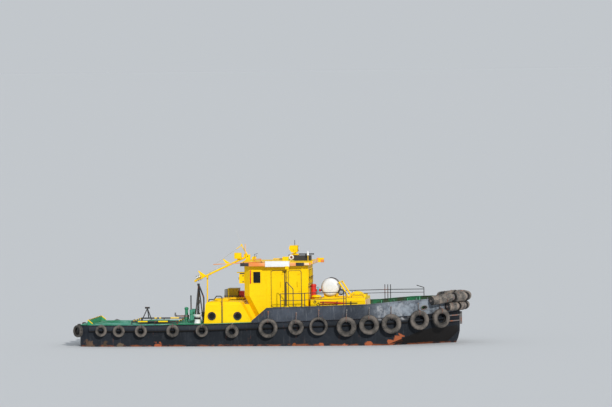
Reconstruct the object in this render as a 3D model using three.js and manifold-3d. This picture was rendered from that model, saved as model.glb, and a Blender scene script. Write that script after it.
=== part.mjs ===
// Harbour tug, about 20 m over its fenders, afloat. Millimetres, +X to the bow, +Y to port, +Z up.
// The origin is amidships on the centreline, at the waterline.
import * as THREE from "three";
import { mergeVertices } from "three/addons/utils/BufferGeometryUtils.js";
import Module from "manifold-3d";

const wasm = await Module();
wasm.setup();

const GAP = 0.3; // between pieces that touch
const CLEAR = 8; // round a piece that moves
const HINGE_RISE = 12; // of the fore hatch's hinge over its coaming
const STARBOARD = -1;
const PORT = 1;
const SIDES = { starboard: STARBOARD, port: PORT };
const RIGHT_ANGLE = Math.PI / 2;

// Hull stations from the transom to the stem.
// Columns: x, keel z, bilge y, bilge z, chine y, chine z, deck y, deck z.
const STATIONS = [
  [-9715, -260, 1300, -240, 1780, -60, 1860, 1085],
  [-9595, -280, 1400, -260, 2060, -70, 2150, 1085],
  [-9200, -320, 1450, -290, 2220, -90, 2310, 1082],
  [-8000, -520, 1450, -440, 2290, -200, 2390, 1075],
  [-6000, -1150, 1300, -900, 2360, -480, 2470, 1075],
  [-3500, -1600, 1550, -1330, 2400, -600, 2500, 1105],
  [0, -1700, 1750, -1430, 2400, -600, 2500, 1205],
  [3500, -1700, 1550, -1380, 2390, -450, 2500, 1310],
  [5000, -1680, 1200, -1200, 2350, -180, 2490, 1370],
  [5760, -1650, 1000, -1080, 2260, 0, 2440, 1400],
  [6660, -1580, 780, -880, 2090, 350, 2300, 1450],
  [7250, -1460, 600, -700, 1900, 590, 2120, 1490],
  [7900, -1200, 420, -420, 1620, 790, 1840, 1535],
  [8500, -760, 260, -60, 1200, 860, 1420, 1580],
  [8950, -250, 150, 300, 760, 880, 950, 1610],
  [9200, 200, 100, 560, 380, 890, 520, 1630],
  [9300, 600, 70, 760, 120, 895, 180, 1640],
];
const KEEL_HALF = 60;
const DECK_PLATE = 40;

// Bulwark top heights by x. Forward of the knee it follows the sheer.
const BULWARK_TOP = [
  [-930, 1230],
  [-150, 1890],
  [2550, 1970],
  [5160, 2050],
  [6450, 2180],
  [8000, 2250],
  [9300, 2310],
];
const BULWARK_THICK = 25;
const BULWARK_FLARE = 60;
const CAP_WIDE = 90;
const CAP_HIGH = 30;

const BELT_OUT = 120;
const BELT_HIGH = 300;
const BELT_DROP = 350;
const SHELF_OUT = 90;
const BELT_START_X = -9150;
const BELT_END_X = 6900;
const SHELF_X = [7060, 8800];
const HANGER_RISE = 320; // of a tyre's lug over its crown
const HANGER_R = 18;
const SEAT = 20; // how far a tyre is pressed into what it lies on

// Tyres along one side. Columns: x, z, outer radius, width.
const TYRES = [
  [-8520, 815, 300, 180],
  [-7620, 790, 305, 180],
  [-6490, 790, 310, 180],
  [-4880, 800, 325, 190],
  [-3400, 800, 315, 190],
  [-1880, 760, 340, 200],
  [-60, 910, 490, 230],
  [1350, 950, 390, 210],
  [2480, 990, 470, 200],
  [3885, 960, 500, 250],
  [5015, 1050, 505, 250],
  [6090, 1090, 500, 250],
  [7420, 1250, 495, 250],
  [8400, 1310, 490, 250],
];
// Tyres round the stern. Columns: x, y, z, outer radius, width, heading of the face in degrees.
const STERN_TYRES = [
  [-9745, -2310, 790, 310, 180, -130],
  [-9935, -750, 760, 320, 190, 180],
  [-9935, 750, 760, 320, 190, 180],
  [-9745, 2310, 790, 310, 180, 130],
];
const TYRE_SEGMENTS = 12;
const TYRE_HOLE = 0.58;

// Wheelhouse: an octagon in plan whose aft side leans forward below the knee.
const HOUSE = {
  aft: -1450,
  fore: 1770,
  half: 1300,
  cornerX: 290,
  cornerY: 300,
  kneeZ: 2460,
  footX: -820,
  footZ: 1250,
  top: 4000,
  wall: 50,
  floorZ: 1850,
  floorThick: 50,
};
const DOORS = { fore: [790, 1450], aft: [-80, 600] };
const DOOR_Z = [1900, 3710];
const DOOR_THICK = 45;
const SIDE_WINDOW = { x: [-960, -600], z: [3110, 3670] };
const FRONT_WINDOWS = { y: [-900, -340, -280, 280, 340, 900], z: [3040, 3740] };
const AFT_WINDOWS = { y: [-800, -250, 250, 800], z: [3110, 3650] };
const GLASS = 8;

const ROOF = { aft: -1530, fore: 1960, half: 1600, low: 4000, edge: 4160, crown: 4215 };

// Aft cabin: its profile in x and z, cut to a rounded section across.
const CABIN = {
  half: 1900,
  topHalf: 1800,
  round: 190,
  wall: 40,
  top: 2215,
  profile: [
    [-3430, 900],
    [-3330, 2090],
    [-3270, 2170],
    [-3120, 2215],
    [-1690, 2200],
    [-1560, 2150],
    [-1460, 2030],
    [-840, 900],
  ],
};
const PORTHOLES = { x: [-3010, -1705], z: 1487, r: 185 };
const CABIN_HATCH = { x: [-2900, -2300], y: [-1200, -500] };

const WELL = { x: [-3000, -1250], y: 750, low: -1150 };
const ENGINE = { x: [-2950, -1300], half: 430, z: [-1100, 120] };

const TRUNK = {
  aft: 1900,
  half: 1150,
  topAft: 2270,
  topFore: 2340,
  foreTopX: 4660,
  foreFootX: 4720,
};
const FORE_HATCH = { coaming: [3780, 4630], opening: [3890, 4410], half: 300, top: 2455 };
const AFT_HATCH = { x: [-6450, -5550], half: 420, coaming: 90, rim: 40 };

const RAFT = { x: 2820, z: 2830, r: 455, half: 560 };

// Ends of the boathook on the starboard guard.
const BOATHOOK = [
  [-2930, -1640, 4070],
  [-360, -1640, 4190],
];

const MAST = { x: -1390, z: 4420, length: 3030, r: 50, dip: THREE.MathUtils.degToRad(24.8) };
const GIN = { x: -60, z: 633 };
const CRUTCH = { x: -3471, footX: -3500, low: 1700, r: 35 };
const FLOODLIGHT = { x: -457, z: 220, half: 150 };
const SPREADERS = [-926, -2330]; // feet of the fins that hold the mast's stays
const SEARCHLIGHT = { x: 950, y: 350, z: 4710, half: 190 };

const PROPELLER = { x: -8420, z: -1080, r: 600, hub: 130, blades: 4 };
const RUDDER = { x: -9060, aft: -9460, fore: -8880, low: -1700, high: -480, stockTop: -365 };
const SOLE_Z = -1850;

const TOW_POST = { x: -4560, r: 80, top: 1780, collarZ: 1340 };
const AFT_FRAME = { x: [-7150, -4760], half: 1650, bar: 70, high: 1250 };

// Colours and finishes of the materials.
const PAINTS = {
  hull: [0x2e3238, 0.75, 0],
  deck: [0x0f7a4a, 0.8, 0],
  yellow: [0xf2c500, 0.5, 0],
  rubber: [0x4a4641, 0.95, 0],
  steel: [0x2a2b2d, 0.6, 0.4],
  bronze: [0x9a7a3a, 0.4, 0.9],
  white: [0xf1f1ee, 0.5, 0],
  red: [0xc8241c, 0.5, 0],
  orange: [0xe77a3c, 0.7, 0],
  glass: [0x1a2226, 0.1, 0],
  grey: [0xb5b7b4, 0.6, 0.1],
};
const materials = Object.fromEntries(
  Object.entries(PAINTS).map(([name, [color, roughness, metalness]]) => [
    name,
    new THREE.MeshStandardMaterial({ name, color, roughness, metalness }),
  ]),
);

// A closed geometry as a solid, turned face out if it was inside out.
function solid(geometry) {
  const bare = geometry.clone();
  bare.deleteAttribute("normal");
  bare.deleteAttribute("uv");
  const merged = mergeVertices(bare, 1e-3);
  const vertProperties = new Float32Array(merged.attributes.position.array);
  const triVerts = new Uint32Array(merged.index.array);
  const made = new wasm.Manifold(new wasm.Mesh({ numProp: 3, vertProperties, triVerts }));
  if (made.volume() >= 0) return made;
  for (let i = 0; i < triVerts.length; i += 3) {
    [triVerts[i + 1], triVerts[i + 2]] = [triVerts[i + 2], triVerts[i + 1]];
  }
  return new wasm.Manifold(new wasm.Mesh({ numProp: 3, vertProperties, triVerts }));
}

const join = (pieces) => pieces.reduce((all, piece) => all.add(piece));
const cut = (piece, tools) => tools.reduce((left, tool) => left.subtract(tool), piece);

// Drops the slivers that a cut leaves beside a piece.
const whole = (piece) => piece.decompose().reduce((a, b) => (a.volume() > b.volume() ? a : b));

function box([x0, x1], [y0, y1], [z0, z1]) {
  const geometry = new THREE.BoxGeometry(x1 - x0, y1 - y0, z1 - z0);
  return solid(geometry.translate((x0 + x1) / 2, (y0 + y1) / 2, (z0 + z1) / 2));
}

function rod(from, to, radius, sides = 8) {
  const a = new THREE.Vector3(...from);
  const b = new THREE.Vector3(...to);
  const along = b.clone().sub(a);
  const geometry = new THREE.CylinderGeometry(radius, radius, along.length(), sides);
  const turn = new THREE.Quaternion().setFromUnitVectors(
    new THREE.Vector3(0, 1, 0),
    along.clone().normalize(),
  );
  const middle = a.add(b).multiplyScalar(0.5);
  return solid(geometry.applyQuaternion(turn).translate(middle.x, middle.y, middle.z));
}

// Rods end to end, each run on a little past its joints.
function chain(points, radius, sides = 8) {
  const rods = points.slice(1).map((to, i) => {
    const a = new THREE.Vector3(...points[i]);
    const b = new THREE.Vector3(...to);
    const past = b.clone().sub(a).setLength(radius * 0.6);
    return rod(a.sub(past).toArray(), b.add(past).toArray(), radius, sides);
  });
  return join(rods);
}

// A flat outline in x and z, run across from one y to another.
function acrossY(outline, y0, y1) {
  const shape = new THREE.Shape(outline.map(([x, z]) => new THREE.Vector2(x, z)));
  const geometry = new THREE.ExtrudeGeometry(shape, { depth: y1 - y0, bevelEnabled: false });
  return solid(geometry.rotateX(RIGHT_ANGLE).translate(0, y1, 0));
}

// A flat outline in y and z, run along from one x to another.
function alongX(outline, x0, x1) {
  const shape = new THREE.Shape(outline.map(([y, z]) => new THREE.Vector2(y, z)));
  const geometry = new THREE.ExtrudeGeometry(shape, { depth: x1 - x0, bevelEnabled: false });
  return solid(geometry.rotateX(RIGHT_ANGLE).rotateZ(RIGHT_ANGLE).translate(x0, 0, 0));
}

// A profile of [radius, height] turned about an axis through a point.
function lathe(profile, segments, point, axis) {
  const geometry = new THREE.LatheGeometry(
    profile.map(([r, h]) => new THREE.Vector2(r, h)),
    segments,
  );
  const turn = new THREE.Quaternion().setFromUnitVectors(
    new THREE.Vector3(0, 1, 0),
    new THREE.Vector3(...axis).normalize(),
  );
  return solid(geometry.applyQuaternion(turn).translate(...point));
}

// Rings of like points, skinned one to the next, with both ends closed.
function loft(rings) {
  const size = rings[0].length;
  const position = rings.flat(2);
  const index = [];
  for (let r = 0; r + 1 < rings.length; r++) {
    for (let i = 0; i < size; i++) {
      const a = r * size + i;
      const b = r * size + ((i + 1) % size);
      index.push(a, b, b + size, a, b + size, a + size);
    }
  }
  for (const [r, flip] of [
    [0, true],
    [rings.length - 1, false],
  ]) {
    for (const face of capFaces(rings[r])) {
      const corners = face.map((i) => r * size + i);
      index.push(...(flip ? corners.reverse() : corners));
    }
  }
  const geometry = new THREE.BufferGeometry();
  geometry.setAttribute("position", new THREE.Float32BufferAttribute(position, 3));
  geometry.setIndex(index);
  return solid(geometry);
}

// Triangles over a ring, in the ring's own turning sense.
function capFaces(ring) {
  const points = ring.map((p) => new THREE.Vector3(...p));
  const normal = new THREE.Vector3();
  points.forEach((p, i) => normal.add(p.clone().cross(points[(i + 1) % points.length])));
  const u = points[1].clone().sub(points[0]).normalize();
  const v = normal.normalize().clone().cross(u);
  const flat = points.map((p) => new THREE.Vector2(p.dot(u), p.dot(v)));
  return THREE.ShapeUtils.triangulateShape(flat, []);
}

// A column's slope at a row, from the slopes on both sides. It is 0 at a crest, so a curve never overshoots.
function slopeAt(table, row, column) {
  const slope = (i) => (table[i + 1][column] - table[i][column]) / (table[i + 1][0] - table[i][0]);
  if (row === 0) return slope(0);
  if (row === table.length - 1) return slope(row - 1);
  const [before, after] = [slope(row - 1), slope(row)];
  return before * after > 0 ? (2 * before * after) / (before + after) : 0;
}

// A row between the table's rows, on a smooth curve through them.
function smoothRow(table, row, t) {
  const [a, b] = [table[row], table[row + 1]];
  const run = b[0] - a[0];
  return a.map((value, column) => {
    const rise = b[column] - value;
    const [from, to] = [slopeAt(table, row, column) * run, slopeAt(table, row + 1, column) * run];
    return value + t * (from + t * (3 * rise - 2 * from - to + t * (from + to - 2 * rise)));
  });
}

function along(table, x) {
  const last = table.length - 1;
  if (x <= table[0][0]) return table[0];
  if (x >= table[last][0]) return table[last];
  const i = table.findIndex((row) => row[0] > x);
  const t = (x - table[i - 1][0]) / (table[i][0] - table[i - 1][0]);
  return table[i].map((value, k) => THREE.MathUtils.lerp(table[i - 1][k], value, t));
}

const DECK_Y = 6;
const DECK_Z = 7;
const TURN_STEP = 110; // how far the deck's edge draws in from one section to the next

// The hull's sections: the stations, with a few more between them where the deck's edge draws in.
const SECTIONS = STATIONS.flatMap((row, i) => {
  const next = STATIONS[i + 1];
  if (!next) return [row];
  const drawn = Math.abs(next[DECK_Y] - row[DECK_Y]);
  const steps = THREE.MathUtils.clamp(Math.round(drawn / TURN_STEP), 1, 3);
  return Array.from({ length: steps }, (_, k) => smoothRow(STATIONS, i, k / steps));
});
const SECTION_XS = SECTIONS.map(([x]) => x);
const deckY = (x) => along(SECTIONS, x)[DECK_Y];
const deckZ = (x) => along(SECTIONS, x)[DECK_Z];
const sectionsBetween = (from, to) => {
  const between = SECTION_XS.filter((x) => x > from + 20 && x < to - 20);
  return [from, ...between, to];
};
const bulwarkTop = (x) => along(BULWARK_TOP, x)[1];

// The hull's edge at deck height on one side, with its outward direction.
function edgeAt(x, side) {
  const step = 150;
  const rise = (deckY(x + step) - deckY(x - step)) / (2 * step);
  const out = new THREE.Vector2(-rise, 1).normalize();
  return { x, y: side * deckY(x), out: new THREE.Vector2(out.x, side * out.y) };
}

// Runs a section of [outward, z] points along a plan path.
function ribbon(path, sectionAt) {
  return loft(
    path.map(({ x, y, out }, i) =>
      sectionAt(x, i).map(([o, z]) => [x + out.x * o, y + out.y * o, z]),
    ),
  );
}

const edgePath = (xs, side) => xs.map((x) => edgeAt(x, side));

// From one side's x round the stem to the other side's.
function bowPath(xs) {
  return [...edgePath(xs, STARBOARD), ...edgePath([...xs].reverse(), PORT)];
}

const root = new THREE.Group();

function geometryOf(body) {
  const { numProp, vertProperties, triVerts } = body.getMesh();
  const position = new Float32Array((vertProperties.length / numProp) * 3);
  for (let i = 0; i * numProp < vertProperties.length; i++) {
    position.set(vertProperties.subarray(i * numProp, i * numProp + 3), i * 3);
  }
  const geometry = new THREE.BufferGeometry();
  geometry.setAttribute("position", new THREE.BufferAttribute(position, 3));
  geometry.setIndex(new THREE.BufferAttribute(triVerts, 1));
  geometry.computeVertexNormals();
  return geometry;
}

function add(name, body, paint, parent = root) {
  const mesh = new THREE.Mesh(geometryOf(body), materials[paint]);
  mesh.name = name;
  parent.add(mesh);
  return mesh;
}

// A group at a pivot, whose pieces are modelled round it.
function pivot(x, y, z, parent = root) {
  const group = new THREE.Group();
  group.position.set(x, y, z);
  parent.add(group);
  return group;
}

// Hull, deck and underwater gear.
function hullBody() {
  const rings = SECTIONS.map(([x, keelZ, bilgeY, bilgeZ, chineY, chineZ, edgeY, edgeZ]) => {
    const top = edgeZ - DECK_PLATE - GAP;
    const half = [
      [KEEL_HALF, keelZ],
      [bilgeY, bilgeZ],
      [chineY, chineZ],
      [edgeY, top],
    ];
    const ring = [...half.map(([y, z]) => [x, -y, z]), ...half.reverse().map(([y, z]) => [x, y, z])];
    return ring;
  });
  return loft(rings);
}

function deckBody(under = DECK_PLATE) {
  const rings = SECTIONS.map(([x, , , , , , edgeY, edgeZ]) => [
    [x, -edgeY, edgeZ - under],
    [x, edgeY, edgeZ - under],
    [x, edgeY, edgeZ],
    [x, -edgeY, edgeZ],
  ]);
  return loft(rings);
}

const hullOuter = hullBody();
const underDeck = hullOuter.add(deckBody(DECK_PLATE + 1));

// Trims a piece to the deck and stands it just clear.
const onDeck = (piece) => piece.subtract(underDeck).translate([0, 0, GAP]);

const well = box(WELL.x, [-WELL.y, WELL.y], [WELL.low, 1300]);
const aftHatchHole = box(AFT_HATCH.x, [-AFT_HATCH.half, AFT_HATCH.half], [600, 1300]);

function keelBody() {
  const outline = [
    [7350, -1430],
    [6600, -1300],
    [-7300, -400],
    [-7700, -400],
    [-7700, SOLE_Z],
    [-9200, SOLE_Z],
    [-9200, -1920],
    [6600, -1920],
  ];
  const plate = acrossY(outline, -KEEL_HALF, KEEL_HALF);
  const tube = rod([-8230, 0, PROPELLER.z], [-6600, 0, PROPELLER.z], 120, 12);
  return plate.add(tube).subtract(hullOuter).translate([0, 0, -GAP]);
}

add("hull", cut(hullOuter, [well, aftHatchHole]), "hull");
add("deck", cut(deckBody(), [well, aftHatchHole]).add(aftCoaming()), "deck");
add("keel", keelBody(), "hull");
add("engine", box(ENGINE.x, [-ENGINE.half, ENGINE.half], ENGINE.z), "grey");

function aftCoaming() {
  const { x, half, coaming, rim } = AFT_HATCH;
  const z = [deckZ(x[0]) - 20, deckZ(x[0]) + coaming];
  const outer = box([x[0] - rim, x[1] + rim], [-half - rim, half + rim], z);
  return outer.subtract(box(x, [-half, half], [0, 2000]));
}

function bladeOf(turn) {
  const blade = new THREE.BoxGeometry(34, 340, PROPELLER.r - 90, 1, 1, 4);
  const spots = blade.attributes.position;
  for (let i = 0; i < spots.count; i++) {
    const up = spots.getZ(i) / (PROPELLER.r - 90) + 0.5;
    const twist = THREE.MathUtils.lerp(0.95, 0.42, up);
    const wide = spots.getY(i) * (0.45 + 1.9 * up * (1 - up) + 0.1 * up);
    const thick = spots.getX(i) * (1.2 - 0.8 * up);
    spots.setXYZ(
      i,
      thick * Math.cos(twist) + wide * Math.sin(twist),
      wide * Math.cos(twist) - thick * Math.sin(twist),
      spots.getZ(i) + (PROPELLER.r - 90) / 2 + 88,
    );
  }
  return solid(blade.rotateX(turn));
}

function propeller() {
  const group = pivot(PROPELLER.x, 0, PROPELLER.z);
  const hub = rod([-160, 0, 0], [160, 0, 0], PROPELLER.hub, 12);
  const cone = lathe([[0, 0], [100, 0], [60, 90], [0, 120]], 12, [-159, 0, 0], [-1, 0, 0]);
  const blades = Array.from({ length: PROPELLER.blades }, (_, i) =>
    bladeOf((i * 2 * Math.PI) / PROPELLER.blades),
  );
  add("propeller", join([hub, cone, ...blades]), "bronze", group);
}
propeller();

function rudder() {
  const group = pivot(RUDDER.x, 0, 0);
  const outline = [
    [RUDDER.aft - RUDDER.x, RUDDER.low],
    [RUDDER.fore - RUDDER.x, RUDDER.low],
    [RUDDER.fore - RUDDER.x, RUDDER.high],
    [RUDDER.aft - RUDDER.x, RUDDER.high - 60],
  ];
  const blade = acrossY(outline, -35, 35);
  const stock = rod([0, 0, SOLE_Z + CLEAR], [0, 0, RUDDER.stockTop], 50, 12);
  add("rudder", blade.add(stock), "hull", group);
}
rudder();

// Bulwarks.
function stiffeners() {
  const spots = [600, 1500, 2400, 3300, 4200, 5200, 5750, 6300, 6900, 7500, 8000];
  return spots.flatMap((x) =>
    [STARBOARD, PORT].map((side) => {
      const { y, out } = edgeAt(x, side);
      const low = deckZ(x) - 5;
      const high = bulwarkTop(x) - 60;
      const depth = -BULWARK_THICK / 2;
      const ring = (shift) =>
        [
          [depth, low],
          [-260, low],
          [-60, high],
          [BULWARK_FLARE - BULWARK_THICK * 0.7, high],
        ].map(([o, z]) => [x + shift + out.x * o, y + out.y * o, z]);
      return loft([ring(-6), ring(6)]);
    }),
  );
}

function bulwark() {
  const knee = BULWARK_TOP[1][0];
  const xs = [BULWARK_TOP[0][0], ...sectionsBetween(knee, STATIONS[STATIONS.length - 1][0])];
  const plate = ribbon(bowPath(xs), (x) => {
    const low = deckZ(x) + GAP;
    const high = bulwarkTop(x);
    const flare = (BULWARK_FLARE * (high - low)) / 700;
    const middle = flare - BULWARK_THICK / 2;
    return [
      [0, low],
      [flare, high],
      [middle + CAP_WIDE / 2, high],
      [middle + CAP_WIDE / 2, high + CAP_HIGH],
      [middle - CAP_WIDE / 2, high + CAP_HIGH],
      [middle - CAP_WIDE / 2, high],
      [flare - BULWARK_THICK, high],
      [-BULWARK_THICK, low],
    ];
  });
  const fairleads = [STARBOARD, PORT].map((side) => {
    const { x, y, out } = edgeAt(7700, side);
    const reach = 400;
    const hole = new THREE.CylinderGeometry(1, 1, reach, 16);
    hole.scale(150, 1, 90);
    hole.rotateZ(Math.atan2(out.y, out.x) - RIGHT_ANGLE);
    return solid(hole.translate(x, y, 1860));
  });
  return onDeck(cut(join([plate, ...stiffeners()]), fairleads));
}
const bulwarkSolid = bulwark();
add("bulwark", bulwarkSolid, "hull");

function sternBulwark() {
  const inset = 230;
  const xs = [-9060, -9280, -9450];
  const starboard = edgePath(xs, STARBOARD);
  const port = edgePath([...xs].reverse(), PORT);
  for (const spot of [...starboard, ...port]) {
    const corner = spot.x < -9300;
    spot.out.set(corner ? -0.7 : -0.1, Math.sign(spot.y) * (corner ? 0.7 : 1));
  }
  const path = [...starboard, ...port];
  const body = ribbon(path, (x, i) => {
    const end = i === 0 || i === path.length - 1;
    const high = end ? 1130 : 1310;
    return [
      [-inset, 1000],
      [-inset, high],
      [-inset - 20, high],
      [-inset - 20, 1000],
    ];
  });
  return onDeck(body);
}
add("stern_bulwark", sternBulwark(), "hull");

// Rubbing belts and tyre fenders.
function tyreAt([x, z, radius, width], side) {
  const belted = x < BELT_END_X - 300;
  const { y, out } = edgeAt(x, side);
  const off = (belted ? BELT_OUT : SHELF_OUT) + width / 2 - SEAT;
  return tyre([x + out.x * off, y + out.y * off, z], radius, width, [out.x, out.y, 0]);
}

function tyre(point, radius, width, axis) {
  const hole = radius * TYRE_HOLE;
  const w = width / 2;
  const profile = [
    [hole, -w * 0.7],
    [radius * 0.8, -w],
    [radius, -w * 0.6],
    [radius, w * 0.6],
    [radius * 0.8, w],
    [hole, w * 0.7],
    [hole, -w * 0.7],
  ];
  return lathe(profile, TYRE_SEGMENTS, point, axis);
}

function belt(side) {
  return ribbon(edgePath(sectionsBetween(BELT_START_X, BELT_END_X), side), (x) => {
    const low = deckZ(x) - BELT_DROP;
    return [
      [-60, low],
      [BELT_OUT, low + 50],
      [BELT_OUT, low + BELT_HIGH - 50],
      [-60, low + BELT_HIGH],
    ];
  });
}

// The short chain that a tyre under the bulwark hangs by, from just off the plate to its crown.
function hanger([x, z, radius, width], side) {
  const belted = x < BELT_END_X - 300;
  const { y, out } = edgeAt(x, side);
  const top = z + radius + HANGER_RISE;
  const wall = ((top - deckZ(x)) * BULWARK_FLARE) / 700 + HANGER_R + 6;
  const crown = (belted ? BELT_OUT : SHELF_OUT) + width * 0.25;
  const place = (off, height) => [x + out.x * off, y + out.y * off, height];
  return rod(place(wall, top), place(crown, z + radius - 30), HANGER_R, 4);
}

function tyresOf(side, from, to) {
  const rows = TYRES.filter(([x]) => x > from && x < to);
  const hung = rows.filter(([x]) => x > BULWARK_TOP[1][0]);
  return [...rows.map((row) => tyreAt(row, side)), ...hung.map((row) => hanger(row, side))];
}

// The forward tyres hang on a shelf of their own that runs along the bow.
function bowShelf(side) {
  return ribbon(edgePath(sectionsBetween(...SHELF_X), side), (x) => {
    const low = deckZ(x) - BELT_DROP;
    return [
      [-150, low],
      [SHELF_OUT, low],
      [SHELF_OUT, low + 120],
      [-150, low + 120],
    ];
  });
}

for (const [name, side] of Object.entries(SIDES)) {
  const clearOfHull = (body) => body.subtract(underDeck.scale([1, 1.0005, 1]));
  const gap = (BELT_END_X + SHELF_X[0]) / 2;
  add(`fenders_${name}`, clearOfHull(join([belt(side), ...tyresOf(side, -Infinity, gap)])), "rubber");
  add(`bow_tyres_${name}`, clearOfHull(join([bowShelf(side), ...tyresOf(side, gap, Infinity)])), "rubber");
}

function sternFenders() {
  const path = [
    [-9615, -2150],
    [-9735, -1880],
    [-9735, 1880],
    [-9615, 2150],
  ];
  const rings = path.map(([x, y], i) => {
    const lean = i === 0 || i === 3 ? 0.7 : 1;
    const side = Math.sign(y) * Math.sqrt(1 - lean * lean);
    const z = deckZ(x);
    const out = lean < 1 ? 160 : 110;
    return [
      [5, z - BELT_DROP],
      [out, z - BELT_DROP + 50],
      [out, z - BELT_DROP + 250],
      [5, z - BELT_DROP + BELT_HIGH],
    ].map(([o, h]) => [x - o * lean, y + o * side, h]);
  });
  const tyres = STERN_TYRES.map(([x, y, z, radius, width, heading]) => {
    const turn = THREE.MathUtils.degToRad(heading);
    return tyre([x, y, z], radius, width, [Math.cos(turn), Math.sin(turn), 0]);
  });
  return join([loft(rings), ...tyres]);
}
add("fenders_stern", sternFenders(), "rubber");

// Bow fenders: fat rolls threaded on a bar, in two tiers round the bow.
// The last roll of a tier crosses the stem.
// Columns of the rolls: x and y of each end.
const UPPER_TIER = {
  rolls: [
    [8100, 2165, 9000, 1435],
    [9120, 1320, 9570, 620],
  ],
  stem: [9640, 450],
  radius: 235,
  low: [8100, 2205],
  high: [9000, 2345],
};
const LOWER_TIER = {
  rolls: [
    [8840, 1470, 9240, 1020],
    [9310, 930, 9530, 450],
  ],
  stem: [9580, 330],
  radius: 210,
  low: [8800, 1870],
  high: [9600, 1885],
};

function bowFender({ rolls, stem, radius, low, high }) {
  const height = (x) =>
    THREE.MathUtils.mapLinear(Math.min(x, high[0]), low[0], high[0], low[1], high[1]);
  const place = (x, y) => [x, y, height(x)];
  const roll = (x0, y0, x1, y1) => rod(place(x0, y0), place(x1, y1), radius, 16);
  const sides = rolls.flatMap(([x0, y0, x1, y1]) => [roll(x0, -y0, x1, -y1), roll(x0, y0, x1, y1)]);
  const across = roll(stem[0], -stem[1], stem[0], stem[1]);
  const bends = [...rolls.flatMap(([x0, y0, x1, y1]) => [[x0, y0], [x1, y1]]), stem];
  const spots = [...bends.map(([x, y]) => [x, -y]), ...bends.reverse()];
  const path = spots.map(([x, y], i) => {
    const [x0, y0] = spots[Math.max(i - 1, 0)];
    const [x1, y1] = spots[Math.min(i + 1, spots.length - 1)];
    return { x, y, out: new THREE.Vector2(y1 - y0, x0 - x1).normalize() };
  });
  const bar = ribbon(path, (x) => {
    const z = height(x);
    return [
      [-38, z - 47],
      [41, z - 36],
      [39, z + 43],
      [-42, z + 37],
    ];
  });
  return join([...sides, across, bar]);
}
add("bow_fender_upper", bowFender(UPPER_TIER), "rubber");
add("bow_fender_lower", bowFender(LOWER_TIER), "rubber");

function bowBelts() {
  const bars = [
    [1380, 60],
    [1110, 50],
  ].map(([z, high]) =>
    ribbon(bowPath(sectionsBetween(8850, STATIONS[STATIONS.length - 1][0])), () => [
      [-120, z],
      [60, z],
      [60, z + high],
      [-120, z + high],
    ]),
  );
  const stem = box([9270, 9420], [-70, 70], [930, 1560]);
  return whole(join([...bars, stem]).subtract(hullOuter.scale([1.0001, 1.0005, 1])));
}
add("bow_belts", bowBelts(), "steel");

// Wheelhouse.
function houseRing(z, inset) {
  const { fore, half, cornerX, cornerY, kneeZ, footX, footZ } = HOUSE;
  const lean = (footX - HOUSE.aft) / (kneeZ - footZ);
  const aft = HOUSE.aft + Math.max(0, kneeZ - z) * lean;
  const a = aft + inset;
  const f = fore - inset;
  const h = half - inset;
  const c = inset * 0.41;
  const quarter = [
    [f - cornerX + c, h],
    [f, h - cornerY + c],
  ];
  const back = [
    [a, h - cornerY + c],
    [a + cornerX - c, h],
  ];
  const side = [...back, ...quarter];
  return [...side.map(([x, y]) => [x, y, z]), ...side.reverse().map(([x, y]) => [x, -y, z])];
}

const houseBlock = (low, high, inset) =>
  loft([houseRing(low, inset), houseRing(HOUSE.kneeZ, inset), houseRing(high, inset)]);

const houseOuter = houseBlock(900, HOUSE.top, 0);
const houseInner = houseBlock(800, HOUSE.top + 100, HOUSE.wall);

function houseWalls() {
  const through = [-2000, 2000];
  const doors = Object.values(DOORS).map((x) => box(x, through, DOOR_Z));
  const sideWindow = box(SIDE_WINDOW.x, through, SIDE_WINDOW.z);
  const openings = [doors[0], doors[1], sideWindow];
  const panes = ({ y, z }, x) => {
    for (let i = 0; i < y.length; i += 2) openings.push(box(x, [y[i], y[i + 1]], z));
  };
  panes(FRONT_WINDOWS, [1500, 2000]);
  panes(AFT_WINDOWS, [-1700, -1200]);
  const walls = onDeck(cut(houseOuter.subtract(houseInner), openings));
  const split = HOUSE.half - HOUSE.cornerY;
  const far = 3000;
  const parts = {
    wheelhouse_starboard: box([-far, far], [-far, -split - GAP], [0, 2 * far]),
    wheelhouse_port: box([-far, far], [split + GAP, far], [0, 2 * far]),
    wheelhouse_front: box([500, far], [-split, split], [0, 2 * far]),
    wheelhouse_aft: box([-far, 0], [-split, split], [0, 2 * far]),
  };
  const lamp = box([-1720, HOUSE.aft + 10], [-985, -815], [3080, 3540]);
  const shelf = box([-1835, HOUSE.aft + 10], [-985, -815], [3600, 3650]);
  for (const [name, region] of Object.entries(parts)) {
    const wall = walls.intersect(region);
    add(name, name === "wheelhouse_aft" ? join([wall, lamp, shelf]) : wall, "yellow");
  }
}
houseWalls();

const floorLow = HOUSE.floorZ - HOUSE.floorThick;
add(
  "wheelhouse_floor",
  loft([houseRing(floorLow, HOUSE.wall + 1), houseRing(HOUSE.floorZ, HOUSE.wall + 1)]),
  "grey",
);

function panes() {
  const rim = 50;
  const inside = HOUSE.wall + GAP;
  const across = ({ y, z }, x) =>
    box(x, [y[0] - rim, y[y.length - 1] + rim], [z[0] - rim, z[1] + rim]);
  const front = HOUSE.fore - inside;
  const aft = HOUSE.aft + inside;
  add("glass_front", across(FRONT_WINDOWS, [front - GLASS, front]), "glass");
  add("glass_aft", across(AFT_WINDOWS, [aft, aft + GLASS]), "glass");
  for (const [name, side] of Object.entries(SIDES)) {
    const y = [side * (HOUSE.half - inside - GLASS), side * (HOUSE.half - inside)];
    const x = [SIDE_WINDOW.x[0] - rim, SIDE_WINDOW.x[1] + rim];
    const z = [SIDE_WINDOW.z[0] - rim, SIDE_WINDOW.z[1] + rim];
    add(`glass_${name}`, box(x, y.sort((p, q) => p - q), z), "glass");
  }
}
panes();

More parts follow.
